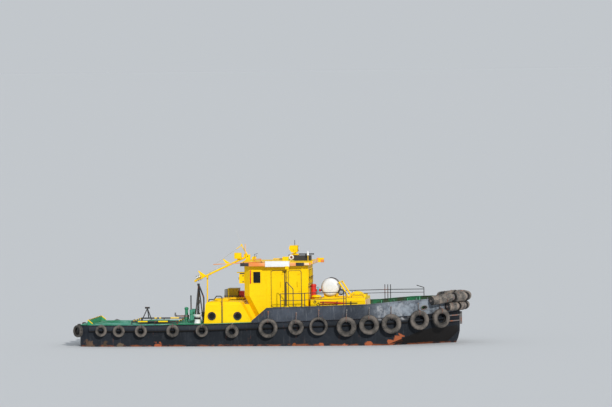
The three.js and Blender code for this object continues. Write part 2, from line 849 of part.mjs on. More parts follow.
// Each door hangs on its aft edge, at the wall's outer face.
for (const [sideName, side] of Object.entries(SIDES)) {
  for (const [name, [x0, x1]] of Object.entries(DOORS)) {
    const group = pivot(x0, side * HOUSE.half, 0);
    const y = [-side * DOOR_THICK, 0].sort((p, q) => p - q);
    const z = [DOOR_Z[0] + CLEAR, DOOR_Z[1] - CLEAR];
    add(`door_${sideName}_${name}`, box([CLEAR, x1 - x0 - CLEAR], y, z), "yellow", group);
  }
}

function helm() {
  const outline = [
    [1250, HOUSE.floorZ + GAP],
    [1640, HOUSE.floorZ + GAP],
    [1640, 2900],
    [1480, 2900],
    [1250, 2740],
  ];
  add("helm_console", acrossY(outline, -550, 550), "grey");
  const group = pivot(1200, 0, 2560);
  const rim = lathe(
    [
      [290, -14],
      [320, -14],
      [320, 14],
      [290, 14],
      [290, -14],
    ],
    20,
    [0, 0, 0],
    [1, 0, 0],
  );
  const spokes = [0, 1, 2].map((i) => {
    const turn = (i * Math.PI) / 3;
    const [y, z] = [Math.cos(turn) * 300, Math.sin(turn) * 300];
    return rod([0, -y, -z], [0, y, z], 11, 6);
  });
  const hub = rod([-25, 0, 0], [40, 0, 0], 40, 10);
  add("helm_wheel", join([rim, hub, ...spokes]), "steel", group);
}
helm();

// Roof with the mast's step and the searchlight's post.
function roof() {
  const { aft, fore, half, low, edge, crown } = ROOF;
  const section = [
    [-half, low + GAP],
    [half, low + GAP],
    [half, edge - 40],
    [half - 60, edge],
    [0, crown],
    [60 - half, edge],
    [-half, edge - 40],
  ];
  const slab = alongX(section, aft, fore);
  const corners = [STARBOARD, PORT].map((side) =>
    solid(
      new THREE.BoxGeometry(500, 500, 1000)
        .rotateZ(Math.PI / 4)
        .translate(fore + 100, side * (half + 100), 4100),
    ),
  );
  const cheeks = [-1, 1].map((s) => {
    const y = [s * 75, s * 95].sort((p, q) => p - q);
    return box([MAST.x - 110, MAST.x + 110], y, [4180, MAST.z + 70]);
  });
  const base = box([MAST.x - 130, MAST.x + 200], [-130, 130], [4180, 4240]);
  const s = SEARCHLIGHT;
  const pedestal = join([
    box([s.x - 140, s.x + 220], [s.y - 180, s.y + 180], [4180, 4440]),
    rod([s.x, s.y, 4400], [s.x, s.y, s.z - 200], 90, 12),
  ]);
  // Boxes of the side lights, the bar along the fore edge and the lamp at its port end.
  const boxes = [STARBOARD, PORT].map((side) => {
    const y = [side * 1150, side * 1400].sort((p, q) => p - q);
    return box([540, 840], y, [4150, 4420]);
  });
  const visor = box([fore - 20, fore + 70], [-1180, 1180], [4040, 4190]);
  const lamp = box([fore + 20, fore + 370], [1020, 1200], [4030, 4250]);
  const winch = join([
    rod([-1080, -150, 4300], [-1080, 150, 4300], 75, 12),
    box([-1150, -1010], [-120, 120], [4190, 4300]),
  ]);
  const cone = lathe([[0, 0], [55, 0], [22, 210], [0, 210]], 12, [1770, -900, 4475], [0, 0, 1]);
  const aerial = rod([1770, -900, 4150], [1770, -900, 4500], 16, 8);
  const gear = [pedestal, ...boxes, visor, lamp, winch, cone, aerial];
  return join([cut(slab, corners), base, ...cheeks, ...gear]);
}
const roofSolid = roof();
add("roof", roofSolid, "yellow");

// A bar along each roof edge with a blank board on it. A boathook lies on the starboard one.
function guard(side) {
  const across = (from, to) => [side * (ROOF.half + from), side * (ROOF.half + to)].sort((p, q) => p - q);
  const bar = box([ROOF.aft - 40, 1660], across(GAP, 90), [3970, 4135]);
  const board = box([-310, 930], across(40, 115), [3930, 4220]);
  const lamp = box([700, 890], across(10, 130), [3800, 3960]);
  const body = join([bar, board, lamp]);
  if (side === PORT) return body;
  const [aftEnd, foreEnd] = BOATHOOK;
  const clips = [-1400, -500].map((x) => box([x - 20, x + 20], across(20, 60), [4100, 4190]));
  return join([body, rod(aftEnd, foreEnd, 20, 8), ...clips]);
}
for (const [name, side] of Object.entries(SIDES)) add(`roof_guard_${name}`, guard(side), "orange");

// A boxy lamp that narrows below, in a yoke that turns on the roof's pedestal.
function searchlight() {
  const { x, y, z, half } = SEARCHLIGHT;
  const group = pivot(x, y, z);
  const outline = [
    [-270, 40],
    [-150, -140],
    [140, -140],
    [170, 60],
    [160, 210],
    [-230, 210],
  ];
  const lamp = acrossY(outline, -half, half);
  const lens = rod([150, 0, 60], [195, 0, 60], 130, 16);
  const arms = [-1, 1].map((s) => {
    const across = [s * (half - 5), s * (half + 25)].sort((p, q) => p - q);
    return box([-40, 40], across, [-185, 60]);
  });
  const yoke = box([-60, 60], [-half - 25, half + 25], [-185, -155]);
  const foot = rod([0, 0, CLEAR - 200], [0, 0, -170], 70, 12);
  const whip = rod([0, 40, 200], [0, 40, 470], 12, 8);
  add("searchlight", join([lamp, lens, ...arms, yoke, foot, whip]), "yellow", group);
}
searchlight();

const RADAR = { x: 1640, y: -450, top: 4450 };
const radarBody = box([1050, 1880], [RADAR.y - 200, RADAR.y + 200], [4150, RADAR.top]);
add("radar_base", radarBody.subtract(roofSolid).translate([0, 0, GAP]), "steel");

function scanner() {
  const group = pivot(RADAR.x, RADAR.y, RADAR.top);
  const bar = box([-385, 385], [-45, 45], [35, 95]);
  const hub = rod([0, 0, CLEAR], [0, 0, 50], 60, 12);
  add("radar_scanner", bar.add(hub), "steel", group);
}
scanner();

// Mast, folded aft over the cabin. Its pieces are modelled with the pole along -X.
function mast() {
  const group = pivot(MAST.x, 0, MAST.z);
  group.rotation.y = -MAST.dip;
  const pole = rod([60, 0, 0], [-MAST.length, 0, 0], MAST.r, 14);
  const boss = rod([0, -67, 0], [0, 67, 0], 62, 12);
  const gin = [-1, 1].map((s) => rod([0, s * 36, 10], [GIN.x, s * 12, GIN.z], 26, 8));
  const head = box([GIN.x - 40, GIN.x + 40], [-45, 45], [GIN.z - 50, GIN.z + 50]);
  const tie = rod([GIN.x * 0.55, -50, GIN.z * 0.55], [GIN.x * 0.55, 50, GIN.z * 0.55], 18, 8);
  const whip = rod([GIN.x, 0, GIN.z - 40], [GIN.x + 65, 0, GIN.z + 810], 10, 6);
  const stays = [
    rod([GIN.x, 0, GIN.z - 10], [-1706, 0, 337], 14, 6),
    rod([-1706, 0, 337], [-1640, 0, 20], 12, 6),
    rod([-1400, 0, 105], [-2360, 0, 85], 14, 6),
  ];
  // The floodlight stands upright while the mast is down.
  const f = FLOODLIGHT;
  const flood = join([
    box([-175, 175], [-f.half, f.half], [-150, 150]),
    box([-40, 60], [-40, 40], [-230, -140]),
  ])
    .rotate([0, THREE.MathUtils.radToDeg(MAST.dip), 0])
    .translate([f.x, 0, f.z]);
  const fins = SPREADERS.map((x) =>
    acrossY(
      [
        [x, -20],
        [x - 270, 405],
        [x - 310, 385],
        [x - 230, -20],
      ],
      -14,
      14,
    ),
  );
  const shelf = box([-2900, -2600], [-100, 100], [45, 65]);
  const lamps = [
    [-2820, 0],
    [-2680, -55],
    [-2680, 55],
  ].map(([x, y]) => rod([x, y, 60], [x, y, 200], 46, 10));
  const yard = rod([-2750, -420, 0], [-2750, 420, 0], 22, 8);
  const pieces = [pole, boss, ...gin, head, tie, whip, ...stays, flood, ...fins, shelf, ...lamps, yard];
  add("mast", join(pieces), "yellow", group);
}
mast();

// Aft cabin with portholes, its hatch and the gear on its top.
function cabinBlock(inset) {
  const { half, topHalf, round, top, profile } = CABIN;
  const shrunk = profile.map(([x, z]) => {
    const middle = -2200;
    return [x + Math.sign(middle - x) * inset, z - inset];
  });
  const section = [[-half + inset, 800], [-topHalf + inset - 30, top - round - inset]];
  for (let i = 0; i <= 4; i++) {
    const turn = (i / 4) * RIGHT_ANGLE;
    section.push([
      -topHalf + inset + round - Math.cos(turn) * round,
      top - inset - round + Math.sin(turn) * round + 15,
    ]);
  }
  const mirrored = section.map(([y, z]) => [-y, z]).reverse();
  const across = alongX([...section, ...mirrored], -4000, 0);
  return acrossY(shrunk, -half, half).intersect(across);
}

const cabinOuter = cabinBlock(0);

// A vent pipe that climbs the cabin's side, runs aft over its edge and turns down into its top.
function sidePipe() {
  const bends = [
    [-2484, -1915, 1120],
    [-2484, -1850, 2300],
    [-2500, -1800, 2440],
    [-2560, -1780, 2480],
    [-2780, -1760, 2480],
    [-2890, -1740, 2320],
    [-3160, -1700, 2310],
    [-3195, -1690, 2120],
  ];
  const clips = [1300, 1850].map((z) => box([-2500, -2468], [-1895, -1800], [z - 15, z + 15]));
  return join([chain(bends, 22), ...clips]);
}

function cabin() {
  const through = (x, r) => rod([x, -2200, PORTHOLES.z], [x, 2200, PORTHOLES.z], r, 16);
  const portholes = PORTHOLES.x.map((x) => through(x, PORTHOLES.r));
  const flanges = PORTHOLES.x.map((x) => through(x, PORTHOLES.r + 40).intersect(cabinBlock(-18)));
  const hatch = box(CABIN_HATCH.x, CABIN_HATCH.y, [2000, 2400]);
  const rim = box(
    [CABIN_HATCH.x[0] - 40, CABIN_HATCH.x[1] + 40],
    [CABIN_HATCH.y[0] - 40, CABIN_HATCH.y[1] + 40],
    [2190, 2270],
  );
  const shell = join([cabinOuter, rim, ...flanges, sidePipe()]).subtract(cabinBlock(CABIN.wall));
  return whole(onDeck(cut(shell, [...portholes, hatch])));
}
const cabinSolid = cabin();
add("aft_cabin", cabinSolid, "yellow");

function cabinLid() {
  const { x, y } = CABIN_HATCH;
  const group = pivot(0, y[1] + 60, 2276);
  const over = 55;
  const wide = [y[0] - over - (y[1] + 60), -10];
  add("cabin_hatch_lid", box([x[0] - over, x[1] + over], wide, [0, 40]), "yellow", group);
}
cabinLid();

function casing() {
  const block = box([-1700, -600], [-1000, 1000], [900, 2030]);
  const clear = [houseOuter.translate([-GAP, 0, 0]), cabinOuter.translate([GAP, 0, 0])];
  return onDeck(cut(block, clear));
}
add("casing", casing(), "yellow");

function ventCasing() {
  const deckPlate = box([-2700, -1640], [200, 1450], [2245, 2310]);
  const feet = [
    [-2620, 300],
    [-1720, 300],
    [-2620, 1350],
    [-1720, 1350],
  ].map(([x, y]) => box([x - 30, x + 30], [y - 30, y + 30], [2120, 2260]));
  const vent = box([-2510, -1980], [500, 1300], [2300, 2740]);
  const ribbed = box([-2600, -2500], [570, 1230], [2300, 2700]);
  const louvres = [580, 725, 870, 1015, 1160].map((y) => box([-2690, -2590], [y, y + 60], [2300, 2700]));
  const body = join([deckPlate, ...feet, vent, ribbed, ...louvres]);
  return body.subtract(cabinOuter).translate([0, 0, GAP]);
}
add("vent_casing", ventCasing(), "yellow");
add("fire_box", box([-1950, -1690], [600, 1200], [2310 + 2 * GAP, 2600]), "red");

function crutch() {
  const poleZ = MAST.z - (MAST.x - CRUTCH.x) * Math.tan(MAST.dip);
  const seat = poleZ - MAST.r / Math.cos(MAST.dip) - 30;
  const post = rod([CRUTCH.footX, 0, CRUTCH.low], [CRUTCH.x, 0, seat - 40], CRUTCH.r, 12);
  const pad = box([CRUTCH.x - 45, CRUTCH.x + 45], [-100, 100], [seat - 70, seat - 15]);
  const horns = [-1, 1].map((s) => {
    const y = [s * 72, s * 100].sort((p, q) => p - q);
    return box([CRUTCH.x - 45, CRUTCH.x + 45], y, [seat - 70, seat + 90]);
  });
  const brackets = [CRUTCH.low + 50, 2030].map((z) => {
    return box([CRUTCH.footX - 50, -3250], [-60, 60], [z - 40, z + 40]);
  });
  const body = join([post, pad, ...brackets, ...horns]);
  return whole(body.subtract(cabinOuter)).translate([-GAP, 0, 0]);
}
add("mast_crutch", crutch(), "yellow");

// Fore trunk, its hatch, and what stands on it.
function trunk() {
  const { aft, half, topAft, topFore, foreTopX, foreFootX } = TRUNK;
  const profile = [
    [aft, 1000],
    [foreFootX, 1000],
    [foreTopX, topFore],
    [aft, topAft],
  ];
  const section = [
    [-half, 900],
    [half, 900],
    [half, topAft - 90],
    [half - 90, 2600],
    [90 - half, 2600],
    [-half, topAft - 90],
  ];
  const block = acrossY(profile, -half, half).intersect(alongX(section, 1000, 6000));
  const coaming = box(FORE_HATCH.coaming, [-400, 400], [2200, FORE_HATCH.top]);
  const hole = box(FORE_HATCH.opening, [-FORE_HATCH.half, FORE_HATCH.half], [1800, 2600]);
  return onDeck(block.add(coaming).subtract(hole));
}
const trunkSolid = trunk();
add("fore_trunk", trunkSolid, "yellow");
const onTrunk = (piece) => piece.subtract(trunkSolid).translate([0, 0, GAP]);

function foreLid() {
  const [x0, x1] = FORE_HATCH.opening;
  const over = 50;
  const group = pivot(x1 + over, 0, FORE_HATCH.top + HINGE_RISE);
  const long = x1 - x0 + 2 * over;
  const outline = [
    [-long, 0],
    [0, 0],
    [0, 12],
    [-long * 0.08, 60],
    [-long * 0.2, 120],
    [-long * 0.5, 150],
    [-long * 0.8, 120],
    [-long, 60],
  ];
  add("fore_hatch_lid", acrossY(outline, -FORE_HATCH.half - over, FORE_HATCH.half + over), "yellow", group);
}
foreLid();

const raftSolid = lathe(
  [
    [0, -RAFT.half],
    [RAFT.r * 0.8, -RAFT.half + 40],
    [RAFT.r, -RAFT.half + 170],
    [RAFT.r, RAFT.half - 170],
    [RAFT.r * 0.8, RAFT.half - 40],
    [0, RAFT.half],
  ],
  32,
  [RAFT.x, 0, RAFT.z],
  [0, 1, 0],
);
add("life_raft", raftSolid, "white");

function cradle() {
  const saddles = [-300, 300].map((y) => box([2480, 3160], [y - 20, y + 20], [2250, 2560]));
  const rails = [-640, 640].map((y) => box([2440, 3860], [y - 30, y + 30], [2250, 2350]));
  const ties = [2520, 3120, 3780].map((x) => box([x - 30, x + 30], [-640, 640], [2250, 2350]));
  const arms = [-640, 640].map((y) => rod([3790, y, 2330], [3280, y, 3110], 45, 8));
  const cross = rod([3330, -640, 3090], [3330, 640, 3090], 30, 8);
  const torus = new THREE.TorusGeometry(130, 26, 6, 16).rotateX(RIGHT_ANGLE);
  const ring = solid(torus.translate(3400, -705, 2600));
  const lug = box([3510, 3600], [-720, -650], [2580, 2620]);
  const body = join([...saddles, ...rails, ...ties, ...arms, cross, ring, lug]);
  const hollow = rod([RAFT.x, -800, RAFT.z], [RAFT.x, 800, RAFT.z], RAFT.r + 1, 32);
  return onTrunk(body.subtract(hollow));
}
add("raft_cradle", cradle(), "yellow");

function hydrant() {
  const pipe = rod([1960, -300, 2200], [1960, -300, 3000], 130, 12);
  const branch = rod([1960, -300, 2680], [2320, -300, 2680], 50, 10);
  const valve = rod([2180, -300, 2600], [2180, -300, 2780], 70, 10);
  return onTrunk(join([pipe, branch, valve]));
}
add("hydrant", hydrant(), "red");

const ventProfile = [
  [0, 0],
  [130, 0],
  [130, 130],
  [250, 140],
  [240, 190],
  [150, 240],
  [0, 260],
];
add("trunk_vent", onTrunk(lathe(ventProfile, 24, [2170, -850, 2220], [0, 0, 1])), "yellow");

// A tall hoop on the bulwark by the fore door.
function grabHoop(side) {
  const foot = bulwarkTop(1000) + CAP_HIGH - 8;
  const bends = [
    [1270, foot],
    [1200, 2120],
    [1200, 2870],
    [900, 3190],
    [830, 3190],
    [830, foot],
  ];
  return chain(bends.map(([x, z]) => [x, side * (deckY(x) + 40), z]), 20);
}

// Rails on the bulwark. Columns: x of each post, z of the upper rail there, z of the post's top if higher.
function rails(side, posts, gapBelow, bars = []) {
  const spot = (x, z) => {
    const { y, out } = edgeAt(x, side);
    return [x + out.x * 40, y + out.y * 40, z];
  };
  const stands = posts.map(([x, z, top = z]) =>
    rod(spot(x, bulwarkTop(x) + CAP_HIGH - 8), spot(x, top), 20, 6),
  );
  stands.push(...bars.map((bends) => chain(bends.map(([x, z]) => spot(x, z)), 18, 6)));
  const upper = chain(posts.map(([x, z]) => spot(x, z)), 18, 6);
  const lower = chain(posts.map(([x, z]) => spot(x, z - gapBelow)), 14, 6);
  const body = join([...stands, upper, lower, grabHoop(side)]);
  return whole(body.subtract(bulwarkSolid)).translate([0, 0, GAP]);
}
const STARBOARD_POSTS = [
  [560, 2615],
  [1640, 2630],
  [1780, 2640],
  [3740, 2690],
  [3860, 2690],
];
const PORT_POSTS = [
  [560, 2500],
  [1780, 2510],
  [3740, 2525],
  [5270, 2557, 2820],
  [5420, 2560, 2820],
  [5560, 2563, 2820],
  [7290, 2590, 2668],
];
const PORT_END_BAR = [
  [6910, 2777],
  [7290, 2668],
];
add("rail_starboard", rails(STARBOARD, STARBOARD_POSTS, 340), "steel");
add("rail_port", rails(PORT, PORT_POSTS, 160, [PORT_END_BAR]), "steel");

// Deck gear.
function bitt(x, y, half, radius, top) {
  const posts = [-half, half].map((s) => rod([x, y + s, 900], [x, y + s, top], radius, 12));
  const cross = rod([x, y - half - 140, top - 180], [x, y + half + 140, top - 180], radius * 0.6, 10);
  return onDeck(join([...posts, cross]));
}
add("bow_bitt", bitt(8450, 0, 190, 85, 2560), "steel");

function towBitt() {
  const x = TOW_POST.x;
  const arch = bitt(-4250, 0, 420, 90, 1740).translate([0, 0, -GAP]);
  const post = rod([x, 0, 900], [x, 0, TOW_POST.top], TOW_POST.r, 14);
  const headProfile = [[0, -60], [100, -50], [110, 0], [80, 60], [0, 80]];
  const head = lathe(headProfile, 14, [x, 0, TOW_POST.top], [0, 0, 1]);
  const collar = rod([x, 0, 1260], [x, 0, TOW_POST.collarZ], 125, 14);
  const plate = box([x - 160, -4120], [-580, 580], [1050, 1125]);
  const stake = rod([-4400, 500, 1100], [-4400, 500, 2410], 28, 10);
  return onDeck(join([arch, post, head, collar, plate, stake]));
}
add("tow_bitt", towBitt(), "deck");

function towHook() {
  const group = pivot(TOW_POST.x, 0, TOW_POST.collarZ + CLEAR);
  const inner = TOW_POST.r + CLEAR;
  const ring = lathe(
    [
      [inner, 0],
      [inner + 45, 0],
      [inner + 45, 110],
      [inner, 110],
      [inner, 0],
    ],
    16,
    [0, 0, 0],
    [0, 0, 1],
  );
  const arm = box([-420, -inner - 20], [-25, 25], [20, 90]);
  const hook = acrossY(
    [
      [-400, 20],
      [-560, 20],
      [-620, 90],
      [-600, 230],
      [-540, 230],
      [-540, 120],
      [-480, 90],
      [-400, 90],
    ],
    -30,
    30,
  );
  add("tow_hook", join([ring, arm, hook]), "steel", group);
}
towHook();

for (const [name, side] of Object.entries(SIDES)) {
  const y = side * 1300;
  const post = lathe(
    [
      [0, 0],
      [150, 0],
      [150, 380],
      [205, 400],
      [205, 450],
      [0, 460],
    ],
    24,
    [-3820, y, 1080],
    [0, 0, 1],
  );
  add(`bollard_${name}`, onDeck(post), "grey");
}

function aftFrame() {
  const { x, half, bar, high } = AFT_FRAME;
  const z = [high - bar, high];
  const outer = box([x[0], x[1]], [-half, half], z);
  const inner = box([x[0] + bar, x[1] - bar], [bar - half, half - bar], [0, 2000]);
  const foot = (fx, fy) => box([fx - 30, fx + 30], [fy - 30, fy + 30], [900, high - 20]);
  const feet = [x[0] + bar / 2, (x[0] + x[1]) / 2, x[1] - bar / 2].flatMap((fx) =>
    [bar / 2 - half, half - bar / 2].map((fy) => foot(fx, fy)),
  );
  // A small tripod stands at the port side of the frame.
  const apex = [-6740, 1150, 1740];
  const legs = [
    [-7020, 950, 1000],
    [-6460, 950, 1000],
    [-6740, half - bar / 2, high - bar / 2],
  ].map((from) => rod(from, apex, 26, 8));
  const head = rod([-6860, 1150, 1770], [-6620, 1150, 1770], 45, 12);
  return onDeck(join([outer.subtract(inner), ...feet, ...legs, head]));
}
add("aft_frame", aftFrame(), "yellow");

function aftLid() {
  const { x, half, coaming, rim } = AFT_HATCH;
  const over = rim + 15;
  const group = pivot(x[1] + over, 0, deckZ(x[0]) + coaming + CLEAR);
  const long = x[1] - x[0] + 2 * over;
  add("aft_hatch_lid", box([-long, 0], [-half - over, half + over], [0, 35]), "deck", group);
}
aftLid();

// A derrick on three legs aft of the cabin, with its fall and blocks. A bent pipe steadies its head.
function gallows() {
  const [x, top] = [-3930, 3000];
  const post = chain(
    [
      [-3560, -800, 900],
      [-3560, -800, 2350],
      [-3740, -400, 2690],
      [-3900, -60, 2950],
    ],
    40,
  );
  const legs = [
    [-4070, -450],
    [-4070, 450],
    [-3640, -400],
  ].map(([lx, ly]) => rod([lx, ly, 950], [x, 0, top], 32, 10));
  const head = box([x - 60, x + 60], [-60, 60], [top - 70, top + 40]);
  const fall = rod([x, 0, 1340], [x, 0, top], 14, 8);
  const blocks = [
    [2020, 2220],
    [1320, 1560],
  ].map((z) => box([x - 60, x + 60], [-45, 45], z));
  return onDeck(join([post, ...legs, head, fall, ...blocks]));
}
add("gallows", gallows(), "steel");

export default root;
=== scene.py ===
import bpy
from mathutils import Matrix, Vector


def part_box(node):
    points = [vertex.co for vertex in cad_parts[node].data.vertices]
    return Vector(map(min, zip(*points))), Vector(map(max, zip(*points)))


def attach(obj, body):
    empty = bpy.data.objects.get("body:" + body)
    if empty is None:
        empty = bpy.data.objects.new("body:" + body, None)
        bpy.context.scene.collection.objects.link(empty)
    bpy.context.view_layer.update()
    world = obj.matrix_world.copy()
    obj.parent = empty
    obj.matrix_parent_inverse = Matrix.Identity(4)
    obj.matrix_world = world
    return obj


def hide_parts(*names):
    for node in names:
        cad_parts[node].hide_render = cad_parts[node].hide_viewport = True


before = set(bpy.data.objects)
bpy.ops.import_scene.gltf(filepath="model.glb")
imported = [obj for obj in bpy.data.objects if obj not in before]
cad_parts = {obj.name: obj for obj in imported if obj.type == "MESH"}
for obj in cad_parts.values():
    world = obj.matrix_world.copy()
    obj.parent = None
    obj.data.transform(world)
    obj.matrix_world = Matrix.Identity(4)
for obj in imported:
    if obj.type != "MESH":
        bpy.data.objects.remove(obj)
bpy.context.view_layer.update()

# Looks of the harbour tug. Metres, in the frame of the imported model: +X to the bow, +Y to port, +Z up,
# with the waterline at z = 0.
import math
import random

import bmesh
import bpy
import numpy as np
from mathutils import Matrix, Vector

TAU = 2 * math.pi
AHEAD, ACROSS, UP = (Vector(way) for way in ((1, 0, 0), (0, 1, 0), (0, 0, 1)))
SIDES = {"starboard": -1, "port": 1}

# Camera. The focal length in pixels and the angles come from the picture's horizon and the hull's sheer.
IMAGE_WIDTH = 612
FOCAL_PX = 5100
SENSOR = 36.0
CAMERA_AT = (32.907, -255.024, 15.095)
HEADING = math.radians(7)
DIP = math.radians(1.795)
ROLL = math.radians(0.7)

# Tyres along one side. Columns: x, z, outer radius, width, hole as a share of the radius.
TYRES = [
    (-8.520, 0.815, 0.300, 0.18, 0.50),
    (-7.620, 0.790, 0.305, 0.18, 0.48),
    (-6.490, 0.790, 0.310, 0.18, 0.48),
    (-4.880, 0.800, 0.325, 0.19, 0.46),
    (-3.400, 0.800, 0.315, 0.19, 0.50),
    (-1.880, 0.760, 0.340, 0.20, 0.46),
    (-0.060, 0.910, 0.490, 0.23, 0.60),
    (1.350, 0.950, 0.390, 0.21, 0.48),
    (2.480, 0.990, 0.470, 0.20, 0.70),
    (3.885, 0.960, 0.500, 0.25, 0.50),
    (5.015, 1.050, 0.505, 0.25, 0.50),
    (6.090, 1.090, 0.500, 0.25, 0.50),
    (7.420, 1.250, 0.495, 0.25, 0.50),
    (8.400, 1.310, 0.490, 0.25, 0.50),
]
BOW_TYRES_FROM = 7.0
WALLED_FROM = -0.5
# Tyres round the stern. Columns: x, y, z, outer radius, width, heading of the face in degrees.
STERN_TYRES = [
    (-9.745, -2.31, 0.79, 0.31, 0.18, -130),
    (-9.935, -0.75, 0.76, 0.32, 0.19, 180),
    (-9.935, 0.75, 0.76, 0.32, 0.19, 180),
    (-9.745, 2.31, 0.79, 0.31, 0.18, 130),
]
# The belt round the stern, from the side to its straight part. Columns: x, y, heading from aft in degrees.
STERN_BELT = [
    (-9.612, 2.158, 46), (-9.665, 2.080, 38), (-9.712, 1.960, 22), (-9.732, 1.830, 6), (-9.735, 1.200, 0),
]
BELT = {"aft": -9.15, "fore": 6.9, "out": 0.12, "high": 0.30, "drop": 0.35, "seat": 0.06}
SHELF = {"aft": 7.06, "fore": 8.8, "out": 0.09, "high": 0.12, "seat": 0.14}
TYRE_SEAT = 0.02

# Colours, linear.
BLACK = (0, 0, 0)
YELLOW = (0.95, 0.60, 0.0)
YELLOW_FADED = (0.95, 0.64, 0.004)
# Yellow in painted shade, for the door gaps and the conduits between the doors.
SHADE_OLIVE = (0.17, 0.11, 0.006)
# Yellow darkened as painted shadow, for the vent that lies in the wheelhouse's shadow.
SHADOWED_MUSTARD = (0.36, 0.26, 0.010)
HULL = (0.008, 0.011, 0.016)
HULL_FADED = (0.017, 0.022, 0.031)
WALL = (0.030, 0.037, 0.050)
WALL_FADED = (0.066, 0.079, 0.104)
WALL_PALE = (0.27, 0.31, 0.36)
SCUFF = (0.42, 0.43, 0.45)
RUST = (0.23, 0.065, 0.018)
BRIGHT_RUST = (0.36, 0.10, 0.04)
ANTIFOULING = (0.20, 0.045, 0.025)
# Painted shade for the hull's downward faces under the chine.
TUCK_SHADE = (0.012, 0.010, 0.009)
GREEN = (0.010, 0.200, 0.085)
TURQUOISE = (0.10, 0.40, 0.32)
# Dark brown for dirt and stains, and for painted shade in corners.
GRIME_AND_SHADE = (0.045, 0.035, 0.025)
LOUVRE_GREY = (0.15, 0.16, 0.16)
# Blotches along the waterline. Columns: x, y, z, radius, colour.
BOOT_PATCHES = [
    (-9.20, -2.10, 0.08, 0.26, (0.12, 0.075, 0.05)),
    (-8.40, -2.20, 0.13, 0.20, (0.07, 0.045, 0.03)),
    (-7.60, -2.30, 0.08, 0.16, (0.13, 0.095, 0.065)),
    (-5.70, -2.38, 0.05, 0.20, (0.36, 0.09, 0.035)),
    (1.25, -2.42, 0.06, 0.15, RUST),
    (2.55, -2.42, 0.05, 0.14, BRIGHT_RUST),
    (3.75, -2.38, 0.05, 0.17, BRIGHT_RUST),
    (4.95, -2.33, 0.07, 0.20, BRIGHT_RUST),
    (6.12, -2.25, 0.15, 0.24, BRIGHT_RUST),
    (6.46, -2.15, 0.30, 0.26, BRIGHT_RUST),
]


def clamp(value, low, high):
    return max(low, min(high, value))


def mixed(a, b, share):
    return tuple(p + (q - p) * share for p, q in zip(a, b))


def turns(count):
    """Angles that share a whole turn."""
    return [TAU * k / count for k in range(count)]


def hoop(centre, u, v, count):
    """Points round an ellipse with half axes u and v."""
    return [centre + u * math.cos(t) + v * math.sin(t) for t in turns(count)]


# What the frame says.
def corners(node):
    return [Vector(corner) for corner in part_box(node)]


def reader(rows, column):
    """Reads a table's column at any x, straight between its rows."""
    return lambda x: float(np.interp(x, rows[:, 0], rows[:, column]))


def edge_table():
    """Rows of x, y and z along the deck's port edge."""
    rows = {}
    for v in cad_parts["deck"].data.vertices:
        x, y, z = v.co
        if y > 0.8 or (y > 0 and x > 9.1):
            key = round(x, 3)
            rows[key] = max(rows.get(key, (y, z)), (y, z))
    return np.array([(x, *rows[x]) for x in sorted(rows)])


EDGE_ROWS = edge_table()
deck_y, deck_z = reader(EDGE_ROWS, 1), reader(EDGE_ROWS, 2)


def top_table():
    """Rows of x and z along the top of the bulwark."""
    points = [v.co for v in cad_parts["bulwark"].data.vertices]
    rows = {}
    for p in points:
        key = round(p.x, 1)
        rows[key] = max(rows.get(key, 0.0), p.z)
    low = min(p.x for p in points)
    high = [(x, rows[x]) for x in sorted(rows) if rows[x] > deck_z(x) + 0.6]
    return np.array([(low, deck_z(low) + 0.08), *high])


rail_z = reader(top_table(), 1)


def edge(x, side, out=0.0, z=0.0):
    """A point at the deck's edge, moved outward and set at a height, and the outward direction there."""
    step = 0.15
    rise = (deck_y(x + step) - deck_y(x - step)) / (2 * step)
    outward = Vector((-rise, 1, 0)).normalized()
    outward.y *= side
    return Vector((x, side * deck_y(x), z)) + outward * out, outward


def cross(outward):
    """The level direction along a wall that faces outward."""
    return UP.cross(outward).normalized()


